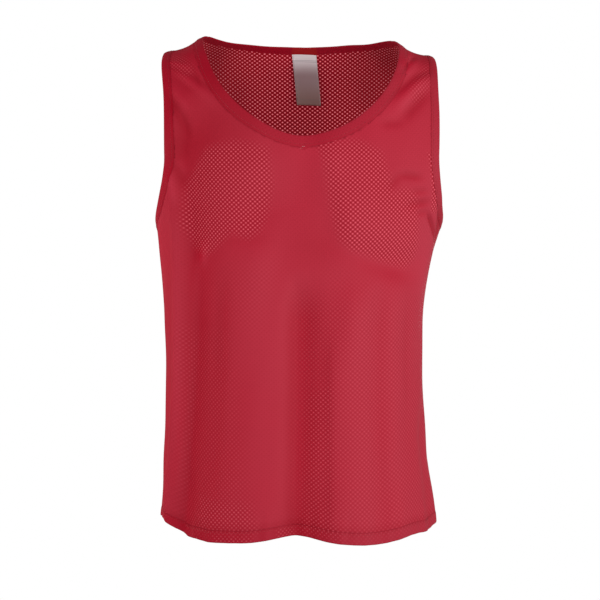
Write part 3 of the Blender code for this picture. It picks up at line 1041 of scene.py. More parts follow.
CLOTH_MAP = "cloth"
GLOW = "glow"  # how much painted light shows in the eyelets, from 0 to 1
SHADE = "shade"  # how much painted shade the colour has, from 0 to 1
PAINTED_SHADOW = "painted_shadow"  # painted shadow, about 1 on a ridge and 4 in the sharpest crease, also along seams and at the hem's turned edge
INNER = "inner"  # 1 on the inner side of a panel
DIM = "dim"  # how much painted shade the inside has, from 0 to 1
TACK = "tack"  # where the label is tacked down, the strip is flat and plain


# ------------------------------------------ finishes
@dataclass(frozen=True)
class EyeletMesh:
    """Warp-knitted mesh with staggered eyelets.

    pitch is the distance between eyelets across and down, with one more in the middle of
    each four. The knit is one wave, 1 at the eyelets and -1 in the middle of the diamonds
    between them. openness is how far the eyelets are see-through.
    """

    name: str
    strength: float = 1.0  # of the dye
    pitch: Pair = (0.00615, 0.00568)
    openness: float = 0.0
    eyelet: Pair = (0.20, 0.95)  # the wave at an eyelet's rim and in its middle
    hole: Pair = (0.90, 0.96)  # likewise for the part that is see-through
    diamond: Pair = (0.05, 1.0)  # and, the other way up, for a diamond
    diamonds: float = 0.18  # how dark the middles of the diamonds are
    glow_diamonds: float = 0.60  # and how much darker where the eyelets show painted light
    glow_shadow: float = 0.24  # how much darker the ground is there
    closed: float = 0.0  # how dark closed eyelets show where no light comes through
    through: float = 0.0  # strength of the painted glow that stands for light coming through the eyelets to the inside
    through_dimmed: float = 1.6  # how fast that glow fades where the inside has painted shade
    patches: float = 9.0  # uneven patches to the metre
    patch_shadow: float = 0.05
    painted_shadow_step: float = 0.14  # share of painted shadow for each step of the painted shadow attribute
    # the dye where its painted shade is least
    colour: Colour = (0.488, 0.0398, 0.0663)
    # the same dye in full painted shade: the red kept, less green and blue
    painted_shade_colour: Colour = (0.482, 0.0028, 0.0220)
    # the dark that painted shadow, the knit's diamonds, closed eyelets and uneven patches go towards
    shadow: Colour = (0.290, 0.0030, 0.0110)
    # painted light in the eyelets
    pale: Colour = (0.800, 0.1150, 0.1550)
    # the inside of the back, in painted shade
    inside: Colour = (0.480, 0.0064, 0.0200)
    # painted light in the eyelets on the inside
    inside_pale: Colour = (1.000, 0.2500, 0.3000)
    # the inside in its fullest painted shade
    inside_dimmed: Colour = (0.120, 0.0012, 0.0040)
    # colour of the painted glow (emission) in the eyelets on the inside
    lit: Colour = (1.000, 0.2000, 0.2400)
    plain: Colour = (0.430, 0.0120, 0.0160)
    roughness: float = 0.72
    gloss: float = 0.08
    sheen: float = 0.06
    sheen_roughness: float = 0.5
    sheen_tint: Colour = (1.0, 0.30, 0.36)
    relief: float = 0.00016

    def knit(self, recipe: Recipe) -> Signal:
        """The wave of the knit, from -1 to 1.

        Args:
            recipe: the material being made.

        Returns:
            The wave.
        """
        across, run = recipe.cloth_place()
        side, down = (way * (math.tau / pitch) for way, pitch in zip((across, run), self.pitch))
        return side.cosine() * down.cosine()

    def made(self) -> Material:
        """Build the material.

        Returns:
            The material.
        """
        recipe = Recipe(self.name)
        knit = self.knit(recipe)
        eyelet, diamond = knit.rise(*self.eyelet), (0 - knit).rise(*self.diamond)
        glow, shade = recipe.attribute(GLOW), recipe.attribute(SHADE)
        colour, painted_shade_colour = (tuple(self.strength * v for v in dye) for dye in (self.colour, self.painted_shade_colour))
        # Painted shade: the dye goes towards its shaded copy where the shade attribute is high.
        ground = recipe.mixed(shade, colour, painted_shade_colour)
        # Uneven patches, and painted shadow in troughs, creases and along seams.
        dark = recipe.noise(self.patches) * self.patch_shadow + recipe.attribute(PAINTED_SHADOW) * self.painted_shadow_step
        ground = recipe.mixed(dark, ground, self.shadow)
        pale = self.pale
        # On the back, the inside is in painted shade and all its eyelets show painted light.
        if self.through:
            inner, dim = recipe.attribute(INNER), recipe.attribute(DIM)
            ground = recipe.mixed(inner, ground, self.inside)
            glow = glow.most(inner)
            pale = recipe.mixed(inner, pale, self.inside_pale)
        # The knit's dark diamonds, darker still where the eyelets show painted light.
        dark = glow * self.glow_shadow + diamond * (glow * self.glow_diamonds + self.diamonds)
        ground = recipe.mixed(dark, ground, self.shadow)
        ground = recipe.mixed(eyelet * self.closed, ground, self.shadow)
        ground = recipe.mixed(recipe.attribute(TACK), ground, self.plain)
        # Painted light in the eyelets.
        base = recipe.mixed(eyelet * glow, ground, pale)
        # The inside's painted shade, and a painted glow (emission) in its eyelets that stands for light
        # coming through them.
        if self.through:
            base = recipe.mixed(dim, base, self.inside_dimmed)
            lit = recipe.mixed(eyelet * inner * (1 - dim * self.through_dimmed), BLACK, self.lit)
            recipe.gloss(Emission_Color=lit, Emission_Strength=self.through)
        if self.openness:
            recipe.gloss(Alpha=1 - knit.rise(*self.hole) * self.openness)
        recipe.gloss(
            Base_Color=base, Roughness=self.roughness, Specular_IOR_Level=self.gloss,
            Sheen_Weight=self.sheen, Sheen_Roughness=self.sheen_roughness, Sheen_Tint=self.sheen_tint,
        )
        recipe.relief(1 - eyelet, self.relief)
        return recipe.material


@dataclass(frozen=True)
class LabelSatin:
    """Silver-grey satin ribbon with a thin woven border near each end, and a painted highlight at its top
    that goes through grey to painted shade at its foot.
    """

    name: str = "satin_ribbon"
    # Painted highlight at the top, grey in the middle and painted shade at the foot.
    light: Colour = (0.93, 0.84, 0.86)
    middle: Colour = (0.37, 0.24, 0.25)
    dark: Colour = (0.29, 0.16, 0.14)
    to_middle: Pair = (0.0, 0.46)  # shares of its length over which the colours change
    to_dark: Pair = (0.40, 1.0)
    border: Colour = (0.20, 0.17, 0.17)
    borders: tuple[float, ...] = (0.0085, 0.0105, 0.0640)
    border_width: float = 0.0010
    border_edge: float = 0.0003
    border_strength: float = 0.55
    length: float = 0.073
    weft: float = 0.0006
    relief: float = 0.00003
    roughness: float = 0.34
    grain: float = 0.4  # how much longer its gloss is one way

    def made(self) -> Material:
        """Build the material; its cloth map holds the distances from the ribbon's corner.

        Returns:
            The material.
        """
        recipe = Recipe(self.name)
        across, down = recipe.cloth_place()
        share = down / self.length
        # Painted highlight fading to painted shade down the ribbon.
        ground = recipe.mixed(share.rise(*self.to_middle), self.light, self.middle)
        ground = recipe.mixed(share.rise(*self.to_dark), ground, self.dark)
        lines = sum(self.line(down, place) for place in self.borders)
        recipe.gloss(Base_Color=recipe.mixed(lines * self.border_strength, ground, self.border))
        recipe.gloss(Roughness=self.roughness, Sheen_Weight=0.0, Anisotropic=self.grain)
        weft, warp = ((way * (math.tau / self.weft)).sine() for way in (down, across))
        recipe.relief((weft + warp * 0.5) * 0.5, self.relief)
        return recipe.material

    def line(self, down: Signal, place: float) -> Signal:
        """A thin line across the ribbon at a distance from its top."""
        end = place + self.border_width
        return down.rise(place, place + self.border_edge) * down.rise(end, end - self.border_edge)


@dataclass(frozen=True)
class Thread:
    """Polyester sewing thread."""

    name: str
    # Make every piece, hide the solids that each replaces and note its faces.
    colour: Colour
    dark: float = 0.7  # the least share of its colour
    twist: float = 900.0  # turns to the metre
    roughness: float = 0.55
    sheen: float = 0.15

    def made(self) -> Material:
        """Build the material, with the twist of the thread as a fine unevenness.

        Returns:
            The material.
        """
        recipe = Recipe(self.name)
        darker = tuple(self.dark * value for value in self.colour)
        base = recipe.mixed(recipe.noise(self.twist, 1.0), self.colour, darker)
        recipe.gloss(Base_Color=base, Roughness=self.roughness, Sheen_Weight=self.sheen)
        return recipe.material


@dataclass(frozen=True)
class StudioWhite:
    """Evenly lit white paper of the studio."""

    name: str = "studio_white"
    colour: Colour = (1.0, 1.0, 1.0)

    def made(self) -> Material:
        """Build the material.

        Returns:
            The material.
        """
        recipe = Recipe(self.name)
        recipe.gloss(Base_Color=BLACK, Roughness=1.0, Specular_IOR_Level=0.0)
        recipe.gloss(Emission_Color=self.colour, Emission_Strength=1.0)
        return recipe.material


class Dye:
    """The finishes of the bib, each made once."""

    def __init__(self) -> None:
        """Make every material."""
        self.front_mesh = EyeletMesh("front_mesh").made()
        back = EyeletMesh("back_mesh", pitch=(0.0073, 0.0057), openness=0.30, through=0.30)
        self.back_mesh = back.made()
        self.hem_mesh = EyeletMesh("hem_mesh", strength=0.88, diamonds=0.05, closed=0.10).made()
        self.binding_mesh = EyeletMesh("binding_mesh", strength=0.87, diamonds=0.05, closed=0.25).made()
        self.satin = LabelSatin().made()
        self.red_thread = Thread("red_thread", (0.40, 0.012, 0.030)).made()
        self.pale_thread = Thread("pale_thread", (0.85, 0.35, 0.38)).made()
        self.studio_white = StudioWhite().made()


# --------------------------------------- mesh making
def in_scene(name: str, data: bpy.types.ID) -> Object:
    """Make an object of some data, in the collection of the scene.

    Args:
        name: its name.
        data: its mesh, light or camera.

    Returns:
        The object, at the origin.
    """
    obj = bpy.data.objects.new(name, data)
    bpy.context.scene.collection.objects.link(obj)
    return obj


def carry(mesh: bpy.types.Mesh, numbers: dict[str, Array]) -> None:
    """Give a mesh a number for each of its points, under each attribute's name.

    Args:
        mesh: the mesh.
        numbers: the numbers under each name.
    """
    for name, values in numbers.items():
        layer = mesh.attributes.new(name, "FLOAT", "POINT")
        layer.data.foreach_set("value", np.asarray(values, float).ravel())


def new_piece(
    name: str,
    places: Array,
    faces: Iterable[Sequence[int]],
    material: Material,
    cloth: Array,
    **numbers: Array,
) -> Object:
    """Make a piece of the garment.

    Args:
        name: its name.
        places: rows of (x, y, z).
        faces: each face's corners.
        material: its finish.
        cloth: rows for the cloth map, one for each place or for each corner of each face.
        numbers: a number for each place, under the name of its attribute.

    Returns:
        The object, at the origin.
    """
    mesh = bpy.data.meshes.new(name)
    mesh.from_pydata([tuple(p) for p in places], [], [tuple(f) for f in faces])
    corners = np.zeros(len(mesh.loops), dtype=np.int32)
    mesh.loops.foreach_get("vertex_index", corners)
    cloth = np.asarray(cloth, float)
    layer = mesh.uv_layers.new(name=CLOTH_MAP)
    layer.data.foreach_set("uv", (cloth if len(cloth) == len(corners) else cloth[corners]).ravel())
    carry(mesh, numbers)
    mesh.materials.append(material)
    mesh.shade_smooth()
    return in_scene(name, mesh)


def turn_outwards(obj: Object) -> None:
    """Make a closed mesh's faces point out of it.

    Args:
        obj: the piece.
    """
    work = bmesh.new()
    work.from_mesh(obj.data)
    bmesh.ops.recalc_face_normals(work, faces=work.faces)
    work.to_mesh(obj.data)
    work.free()


def settled(obj: Object) -> None:
    """Apply an object's modifiers and remove them.

    Args:
        obj: the piece.
    """
    depsgraph = bpy.context.evaluated_depsgraph_get()
    made = bpy.data.meshes.new_from_object(
        obj.evaluated_get(depsgraph), preserve_all_data_layers=True, depsgraph=depsgraph
    )
    made.name = obj.data.name + "_settled"
    obj.modifiers.clear()
    obj.data = made


def thickened(obj: Object, thickness: float) -> None:
    """Turn a sheet into a thin wall with both its sides, the sheet in its middle.

    Args:
        obj: the sheet.
        thickness: that of the wall.
    """
    wall = obj.modifiers.new("wall", "SOLIDIFY")
    wall.thickness = thickness
    wall.offset = 0
    settled(obj)


def ride(obj: Object, slot: str, *nodes: str) -> None:
    """Let a piece move with the bib and stand for the solids it replaces.

    Args:
        obj: the piece.
        slot: not used.
        nodes: the solids.
    """
    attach(obj, BODY)
    if nodes:
        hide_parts(*nodes)
    LOG.info("%s: %d faces", obj.name, len(obj.data.polygons))


# -------------------------------------------- panels
@dataclass(frozen=True)
class Glow:
    """An area of a panel whose eyelets are painted pale, as painted light showing through them, inside
    corners (across, run).

    Where the strength is negative, the cloth is drawn smooth and the knit hardly shows.
    """

    name: str
    strength: float
    softness: float
    corners: tuple[Place, ...]


GLOWS = (
    Glow("right chest", 0.88, 0.016, (
        (-0.125, 0.208), (-0.085, 0.208), (-0.042, 0.220), (-0.036, 0.262), (-0.043, 0.297),
        (-0.052, 0.315), (-0.067, 0.324), (-0.090, 0.315), (-0.117, 0.337), (-0.131, 0.342),
        (-0.152, 0.333), (-0.168, 0.300), (-0.161, 0.250),
    )),
    Glow("left chest", 0.92, 0.016, (
        (0.022, 0.212), (0.031, 0.236), (0.040, 0.290), (0.052, 0.326), (0.068, 0.338),
        (0.108, 0.350), (0.151, 0.359), (0.165, 0.347), (0.169, 0.328), (0.158, 0.262),
        (0.141, 0.256), (0.123, 0.264), (0.116, 0.240), (0.106, 0.216), (0.078, 0.208),
    )),
    Glow("right strap", 0.46, 0.014, (
        (-0.188, 0.035), (-0.166, 0.055), (-0.145, 0.100), (-0.160, 0.102), (-0.184, 0.070),
    )),
    Glow("left strap", 0.46, 0.014, (
        (0.187, 0.045), (0.169, 0.085), (0.150, 0.122), (0.155, 0.138), (0.168, 0.128), (0.185, 0.100),
    )),
    Glow("left armhole edge", 1.0, 0.004, ((0.174, 0.204), (0.185, 0.204), (0.202, 0.280), (0.188, 0.280))),
    Glow("middle trough", 0.48, 0.034, ((0.006, 0.530), (0.048, 0.500), (0.052, 0.712), (0.000, 0.712))),
    Glow("left body", 0.25, 0.050, ((-0.004, 0.400), (0.230, 0.400), (0.230, 0.712), (-0.004, 0.712))),
    Glow("left ribs", 0.14, 0.050, ((0.040, 0.372), (0.150, 0.380), (0.138, 0.440), (0.030, 0.440))),
    Glow("right body", 0.24, 0.050, ((-0.176, 0.440), (-0.090, 0.440), (-0.064, 0.712), (-0.172, 0.712))),
    Glow("right ribs", 0.12, 0.050, ((-0.150, 0.360), (-0.030, 0.360), (-0.060, 0.440), (-0.160, 0.440))),
    Glow("over the hem", 0.50, 0.026, ((-0.146, 0.656), (-0.064, 0.668), (-0.056, 0.704), (-0.146, 0.703))),
    Glow("hem, right", 0.40, 0.006, ((-0.118, 0.709), (-0.060, 0.709), (-0.062, 0.722), (-0.112, 0.722))),
    Glow("hem, middle", 0.40, 0.006, ((-0.030, 0.706), (-0.008, 0.706), (-0.008, 0.722), (-0.030, 0.722))),
    Glow("smooth right side", -0.40, 0.024, (
        (-0.280, 0.235), (-0.176, 0.235), (-0.184, 0.300), (-0.196, 0.500), (-0.200, 0.720), (-0.280, 0.720),
    )),
    Glow("back right blade", 0.60, 0.020, (
        (-0.132, -0.168), (-0.060, -0.176), (-0.044, -0.250), (-0.066, -0.318), (-0.112, -0.330),
        (-0.156, -0.300), (-0.158, -0.236),
    )),
    Glow("back left blade", 0.60, 0.020, (
        (0.048, -0.180), (0.124, -0.164), (0.160, -0.244), (0.160, -0.312), (0.106, -0.344),
        (0.072, -0.322), (0.058, -0.262),
    )),
    Glow("back right strap", 0.40, 0.014, (
        (-0.186, -0.040), (-0.160, -0.052), (-0.150, -0.112), (-0.180, -0.090),
    )),
    Glow("back left strap", 0.40, 0.014, (
        (0.184, -0.044), (0.162, -0.056), (0.148, -0.106), (0.176, -0.104),
    )),
    Glow("back middle", 0.26, 0.050, ((-0.070, -0.420), (0.060, -0.400), (0.080, -0.712), (-0.086, -0.712))),
    Glow("back right body", 0.42, 0.040, (
        (-0.196, -0.500), (-0.120, -0.470), (-0.116, -0.700), (-0.190, -0.700),
    )),
    Glow("back left body", 0.36, 0.040, ((0.118, -0.440), (0.190, -0.480), (0.186, -0.704), (0.112, -0.704))),
)


def glow(cloth: Array) -> Array:
    """How much painted light shows in the eyelets at each point.

    Args:
        cloth: rows of (across, run).

    Returns:
        A number for each row.
    """
    found = np.zeros(len(cloth))
    for area in GLOWS:
        outline = np.array(area.corners)
        depth = clearance(cloth, outline) * np.where(inside(cloth, outline), 1, -1)
        share = area.strength * soft_step(depth / area.softness + 0.5)
        found = np.maximum(found, share) if area.strength > 0 else found + share
    return found


@dataclass
class MeshPanel:
    """The front or the back: eyelet mesh cut inside the bindings and down into the hem."""

    pattern: Pattern
    panel: Panel
    material: Material
    thickness: float = 0.0008
    lattice: float = 0.0070  # triangles' size before each is divided in four
    facet: float = 0.0060  # along the edges, likewise
    tuck: float = 0.0004  # how far the edges reach into bindings and hem
    play: float = 0.00004  # half the slit between front and back along their seams
    seam_shadow: float = 1.0  # painted shadow along its seams
    seam_shadow_width: float = 0.0022
    hem_line: float = 1.3  # and where the hem's turned edge shows through
    hem_line_run: float = 0.7000
    hem_line_width: float = 0.0050
    inside_dim: float = 0.20  # painted shade on the inside
    inside_dimmest: float = 0.6
    knit_grid: tuple[int, int] = (61, 53)  # rows and columns on which the run is measured
    knit_reach: float = 0.27

    @property
    def name(self) -> str:
        """The panel's name."""
        return "front_mesh_panel" if self.panel is Panel.FRONT else "back_mesh_panel"

    def outline(self) -> Array:
        """The panel's closed outline on the flat cloth.

        Returns:
            Rows of (across, run).
        """
        pattern, facing = self.pattern, self.panel.value
        low = pattern.hem_seam + self.tuck
        neck = pattern.neck(self.panel, self.facet)
        neck -= self.tuck * sideways(neck, (0, 0))
        neck[[0, -1], 1] = facing * self.play
        outline = [pattern.level_line(self.panel, low, self.facet, self.play)]
        for hand in (Hand.RIGHT, Hand.LEFT):
            space = pattern.armhole_space(self.panel, hand)
            hole = pattern.armhole(self.panel, hand, self.facet)
            hole -= self.tuck * sideways(hole, space)
            seam = pattern.side_seam(self.panel, hand, abs(hole[0, 1]), low, self.facet)
            seam[:, 0] -= hand.value * self.play
            hole[0] = seam[0]
            hole[-1, 1] = facing * self.play
            shoulder = resampled([hole[-1], neck[0 if hand is Hand.LEFT else -1]], self.facet)
            half = [seam[-2:0:-1], hole, shoulder[1:-1]]
            if hand is Hand.RIGHT:
                outline += half + [neck[::-1]]
            else:
                outline += [line[::-1] for line in reversed(half)]
        return np.concatenate(outline)

    def filled(self, outline: Array) -> tuple[Array, Array]:
        """Fill an outline with even triangles: cloth points and the triangles' corners.

        Args:
            outline: the outline's corners.

        Returns:
            Rows of (across, run), and rows of three corners.
        """
        low, high = outline.min(axis=0), outline.max(axis=0)
        rows = np.arange(low[1], high[1], self.lattice * math.sqrt(3) / 2)
        columns = np.arange(low[0] - self.lattice, high[0] + self.lattice, self.lattice)
        lattice = np.array([(x + (i % 2) * self.lattice / 2, y) for i, y in enumerate(rows) for x in columns])
        lattice = lattice[inside(lattice, outline)]
        lattice = lattice[clearance(lattice, outline) > 0.5 * self.lattice]
        points = [Vector(p) for p in np.concatenate([outline, lattice])]
        made = delaunay_2d_cdt(points, [], [list(range(len(outline)))], 1, 1e-7)
        return np.array(made[0]), np.array([list(face) for face in made[2]])

    def divided(self, points: Array, faces: Array) -> tuple[Array, Array]:
        """Divide each triangle in four at the middles of its sides.

        Args:
            points: rows of (across, run).
            faces: rows of three corners.

        Returns:
            The same for the new triangles.
        """
        pairs = np.sort(np.concatenate([faces[:, [0, 1]], faces[:, [1, 2]], faces[:, [2, 0]]]), axis=1)
        sides, which = np.unique(pairs, axis=0, return_inverse=True)
        a, b, c = faces.T
        ab, bc, ca = which.reshape(3, len(faces)) + len(points)
        quarters = [(a, ab, ca), (ab, b, bc), (ca, bc, c), (ab, bc, ca)]
        faces = np.concatenate([np.stack(quarter, axis=1) for quarter in quarters])
        return np.concatenate([points, points[sides].mean(axis=1)]), faces

    def evenly_knitted(self, cloth: Array) -> Array:
        """Cloth places with the run measured along the worn cloth from the hem up.

        Args:
            cloth: rows of (across, run).

        Returns:
            Rows of across and that length.
        """
        form = self.pattern.form
        (rows, columns), reach = self.knit_grid, self.knit_reach
        runs = np.linspace(0, form.body_length, rows) * self.panel.value
        grid = np.meshgrid(np.linspace(-reach, reach, columns), runs)
        places = form.smooth(*(line.ravel() for line in grid))[0].reshape(rows, columns, 3)
        steps = np.linalg.norm(np.diff(places, axis=0), axis=2)
        height = np.vstack([steps[::-1].cumsum(axis=0)[::-1], np.zeros(columns)])
        down = np.clip(np.abs(cloth[:, 1]) / form.body_length, 0, 1) * (rows - 1)
        side = np.clip((cloth[:, 0] / reach + 1) / 2, 0, 1) * (columns - 1)
        i, j = (np.minimum(v.astype(int), n - 2) for v, n in ((down, rows), (side, columns)))
        down, side = down - i, side - j
        upper = height[i, j] * (1 - side) + height[i, j + 1] * side
        lower = height[i + 1, j] * (1 - side) + height[i + 1, j + 1] * side
        return np.stack([cloth[:, 0], upper * (1 - down) + lower * down], axis=1)

    def build(self) -> Object:
        """Make the panel as a thin wall with both its sides.

        Returns:
            The panel.
        """
        form = self.pattern.form
        outline = self.outline()
        cloth, faces = self.divided(*self.filled(outline))
        places = form.worn(cloth)
        corner = places[faces]
        normal = np.cross(corner[:, 1] - corner[:, 0], corner[:, 2] - corner[:, 0])
        if (normal * corner.mean(axis=1) * (1, 1, 0)).sum() < 0:
            faces = faces[:, ::-1]
        # Painted shadow in troughs, creases, shading patches and along the seams, with the line where the
        # hem's turned edge shows through; painted light in the eyelets; painted shade by the way the cloth
        # faces.
        hem_line = self.hem_line * bell(np.abs(cloth[:, 1]) - self.hem_line_run, self.hem_line_width)
        seam_shadow = self.seam_shadow * bell(clearance(cloth, outline), self.seam_shadow_width)
        dark = form.painted_shadow(cloth) + hem_line + seam_shadow
        numbers = {GLOW: glow(cloth), SHADE: form.shade(cloth), PAINTED_SHADOW: dark}
        obj = new_piece(self.name, places, faces, self.material, self.evenly_knitted(cloth), **numbers)
        thickened(obj, self.thickness)
        sides = np.array([v.co for v in obj.data.vertices]).reshape(2, -1, 3) - places
        inner = (sides * form.outwards(cloth, places)).sum(axis=2) < 0
        # Painted shade on the inner side.
        dim = np.clip(self.inside_dim + patch_shading(cloth, INSIDE_SHADING_PATCHES), 0, self.inside_dimmest)
        carry(obj.data, {INNER: inner, DIM: inner * dim})
        return obj


# ---------------------------------- bindings and hem
@dataclass
class Band:
    """A folded strip sewn along a seam, which takes the panel's edge in a groove.

    seam and into are rows along the seam: its place on the cloth, and the way from the panel
    to the strip's folded edge, as long as the strip is wide.
    """

    name: str
    form: WornForm
    material: Material
    seam: Array
    into: Array
    width: float
    thickness: float
    closed: bool = True
    lap: float = 0.0011  # how far the strip reaches over the panel
    lip: float = 0.00028  # its thickness there
    groove: float = 0.00050  # half the width of the groove
    extra_lap: Array | None = None
    pressed: Array | None = None  # how much thinner the strip is, along the seam
    tack: Array | None = None
    roll: Array | None = None  # angle by which the strip is rolled inwards
    lap_end: float = -0.0005  # the section's rows beyond this reach further by extra_lap
    strip_start: float = 0.001  # and its rows beyond this are pressed
    seam_shadow: float = 0.6  # painted shadow along its seam
    seam_shadow_width: float = 0.0020
    extra_painted_shade: float = 0.16  # how much more painted shade it has than the panels
    extra_painted_shade_lean: float = 1.2  # and how fast that fades towards the wearer's left

    def section(self) -> Array:
        """The strip's section: rows of (distance from the seam, height off its middle).

        Returns:
            The rows, in order round the strip.
        """
        half, width = self.thickness / 2, self.width
        lip = self.groove + self.lip
        side = [
            (0.0008, self.groove),
            (-self.lap, self.groove),
            (-self.lap - 0.0001, self.groove + 0.4 * self.lip),
            (-self.lap + 0.0001, lip),
            (-self.lap + 0.0007, lip + 0.00005),
            (0.0004, lip + 0.00002),
            (0.0020, half * 0.96),
            (width * 0.35, half * 1.02),
            (width * 0.62, half * 1.02),
            (width - 0.0018, half * 0.96),
            (width - 0.0009, half * 0.82),
            (width - 0.0003, half * 0.50),
            (width, half * 0.12),
        ]
        return np.array(side + [(w, -h) for w, h in reversed(side)])

    def build(self) -> Object:
        """Sweep the section along the seam.

        Returns:
            The strip.
        """
        section = self.section()
        rings, count = len(self.seam), len(section)
        unit = self.into / self.width
        level = np.zeros(rings)
        lap, pressed, roll = (level if v is None else v for v in (self.extra_lap, self.pressed, self.roll))
        rows = []
        for w, h in section:
            reach = w - lap if w < self.lap_end else level + w
            height = h * (1 - pressed) if w > self.strip_start else level + h
            if w > 0:
                turned = height * np.cos(roll) - w * np.sin(roll)
                reach, height = w * np.cos(roll) + h * np.sin(roll), turned
            rows.append(self.form.worn(self.seam + unit * reach[:, None], height))
        places = np.stack(rows, axis=1)
        faces, corners = self.faces(places.mean(axis=1), section)
        cloth = (self.seam[:, None] + unit[:, None] * section[:, :1]).reshape(-1, 2)
        seam_shadow = np.tile(self.seam_shadow * bell(section[:, 0], self.seam_shadow_width), rings)
        # Painted shade by the way the cloth faces, more on the strips and towards the wearer's right.
        shade = self.form.shade(self.seam + 0.5 * self.into)
        shade = np.clip(shade + self.extra_painted_shade - self.extra_painted_shade_lean * self.seam[:, 0], 0, 1)
        numbers = {
            GLOW: glow(cloth) * (not self.closed),
            SHADE: np.repeat(shade, count),
            PAINTED_SHADOW: self.form.painted_shadow(cloth) + seam_shadow,
        }
        if self.tack is not None:
            numbers[TACK] = np.repeat(self.tack, count)
        obj = new_piece(self.name, places.reshape(-1, 3), faces, self.material, corners, **numbers)
        turn_outwards(obj)
        return obj

    def faces(self, middle: Array, section: Array) -> tuple[list[tuple[int, ...]], Array]:
        """The strip's faces, with its caps where it is open.

        Args:
            middle: the middle of each ring, in space.
            section: the strip's section.

        Returns:
            Each face's corners, and for each corner its distances along the strip and round it.
        """
        rings, count = len(middle), len(section)
        steps = np.linalg.norm(np.diff(middle, axis=0, append=middle[:1]), axis=1)
        along = np.concatenate([[0.0], np.cumsum(steps)])
        steps = np.hypot(*np.diff(section, axis=0, append=section[:1]).T)
        round_it = np.concatenate([[0.0], np.cumsum(steps)])
        faces, corners = [], []
        for i in range(rings if self.closed else rings - 1):
            j = (i + 1) % rings
            for k in range(count):
                m = (k + 1) % count
                faces.append((i * count + k, j * count + k, j * count + m, i * count + m))
                corners += [(along[i + a], round_it[k + b]) for a, b in ((0, 0), (1, 0), (1, 1), (0, 1))]
        caps = () if self.closed else ((0, 1), (rings - 1, -1))
        for ring, turn in caps:
            cap = range(ring * count, (ring + 1) * count)[::turn]
            faces.append(tuple(cap))
            corners += [(along[ring], round_it[k % count]) for k in cap]
        return faces, np.array(corners)


@dataclass
class Trim:
    """The bindings and hems: where their seams run and how they lie there."""

    pattern: Pattern
    dye: Dye
    spacing: float = 0.0028
    binding_thickness: float = 0.0022
    hem_thickness: float = 0.0020
    mitre_half_width: float = 0.0075
    mitre_depth: float = 0.0036
    mitre_crease: float = 0.35  # share of its thickness that the strip loses at the mitre
    mitre_crease_width: float = 0.0022
    hem_slit: float = 0.00006
    hem_lap: float = 0.0008
    hem_lip: float = 0.00016
    # painted shadow along the hem's seam
    hem_seam_shadow: float = 1.2
    tack_half_width: float = 0.0175
    tack_centre: float = 0.006
    tack_run: float = -0.05  # the label is tacked down beyond this
    back_roll: float = 0.28  # the back of the neck binding is rolled forwards
    roll_run: float = 0.030  # the roll starts here, on the front
    roll_reach: float = 0.060  # and is full this far on
    left_unroll: float = 0.3  # the share of it that the wearer's left loses
    unroll_across: float = 0.02  # from here
    unroll_reach: float = 0.06  # over this way

    def neck_seam(self) -> tuple[Array, Array]:
        """The closed neck seam and the unit vectors into the opening.

        Returns:
            The seam's points, and a vector for each.
        """
        neck = [self.pattern.neck(panel, self.spacing) for panel in (Panel.FRONT, Panel.BACK)]
        seam = np.concatenate([neck[0], neck[1][-2:0:-1]])
        return seam, -sideways(seam, (0, 0), closed=True)

    def neck(self) -> Band:
        """The neck binding, with its mitre at the centre front and the label's tack at the back.

        Returns:
            The strip, not yet built.
        """
        seam, into = self.neck_seam()
        across, run = seam.T
        from_mitre = np.abs(across - self.pattern.neck_centres[0])
        front = run > 0
        mitre = np.maximum(0, 1 - from_mitre / self.mitre_half_width) * front
        crease = bell(from_mitre, self.mitre_crease_width) * front * self.mitre_crease
        at_label = np.abs(across - self.tack_centre) < self.tack_half_width
        unroll = self.left_unroll * soft_step((across - self.unroll_across) / self.unroll_reach)
        roll = self.back_roll * soft_step((self.roll_run - run) / self.roll_reach) * (1 - unroll)
        width = self.pattern.binding_width
        return Band(
            "neck_binding_strip", self.pattern.form, self.dye.binding_mesh, seam, into * width, width,
            self.binding_thickness, extra_lap=mitre * self.mitre_depth, pressed=crease,
            tack=at_label * (run < self.tack_run) * 1.0, roll=roll,
        )

    def armhole_seam(self, hand: Hand) -> tuple[Array, Array]:
        """One closed armhole seam, and the way from it to the strip's folded edge.

        Args:
            hand: the wearer's left or right.

        Returns:
            The seam's points, and a way for each.
        """
        seams, ways = [], []
        width = self.pattern.binding_width
        for panel in Panel:
            seam = self.pattern.armhole(panel, hand, self.spacing)
            free = seam - width * sideways(seam, self.pattern.armhole_space(panel, hand))
            free[0, 0] = hand.value * self.pattern.form.quarter_girth(free[:1, 1], hand)[0]
            free[-1, 1] = 0
            part = slice(None) if panel is Panel.FRONT else slice(-2, 0, -1)
            seams.append(seam[part])
            ways.append((free - seam)[part])
        return np.concatenate(seams), np.concatenate(ways)

    def armhole(self, hand: Hand) -> Band:
        """One armhole binding.

        Args:
            hand: the wearer's left or right.

        Returns:
            The strip, not yet built.
        """
        seam, into = self.armhole_seam(hand)
        return Band(
            f"armhole_binding_strip_{hand.name.lower()}", self.pattern.form, self.dye.binding_mesh,
            seam, into, self.pattern.binding_width, self.binding_thickness,
        )

    def hem(self, panel: Panel) -> Band:
        """The turned-up hem of one panel.

        Args:
            panel: the front or the back.

        Returns:
            The strip, not yet built.
        """
        pattern = self.pattern
        seam = pattern.level_line(panel, pattern.hem_seam, self.spacing, self.hem_slit)
        edge = pattern.level_line(panel, pattern.form.body_length, self.spacing, self.hem_slit)
        edge = resampled(edge, self.spacing, len(seam) - 1)
        return Band(
            f"{panel.name.lower()}_turned_hem", pattern.form, self.dye.hem_mesh, seam, edge - seam,
            pattern.hem_width, self.hem_thickness, closed=False, lap=self.hem_lap, lip=self.hem_lip,
            seam_shadow=self.hem_seam_shadow,
        )


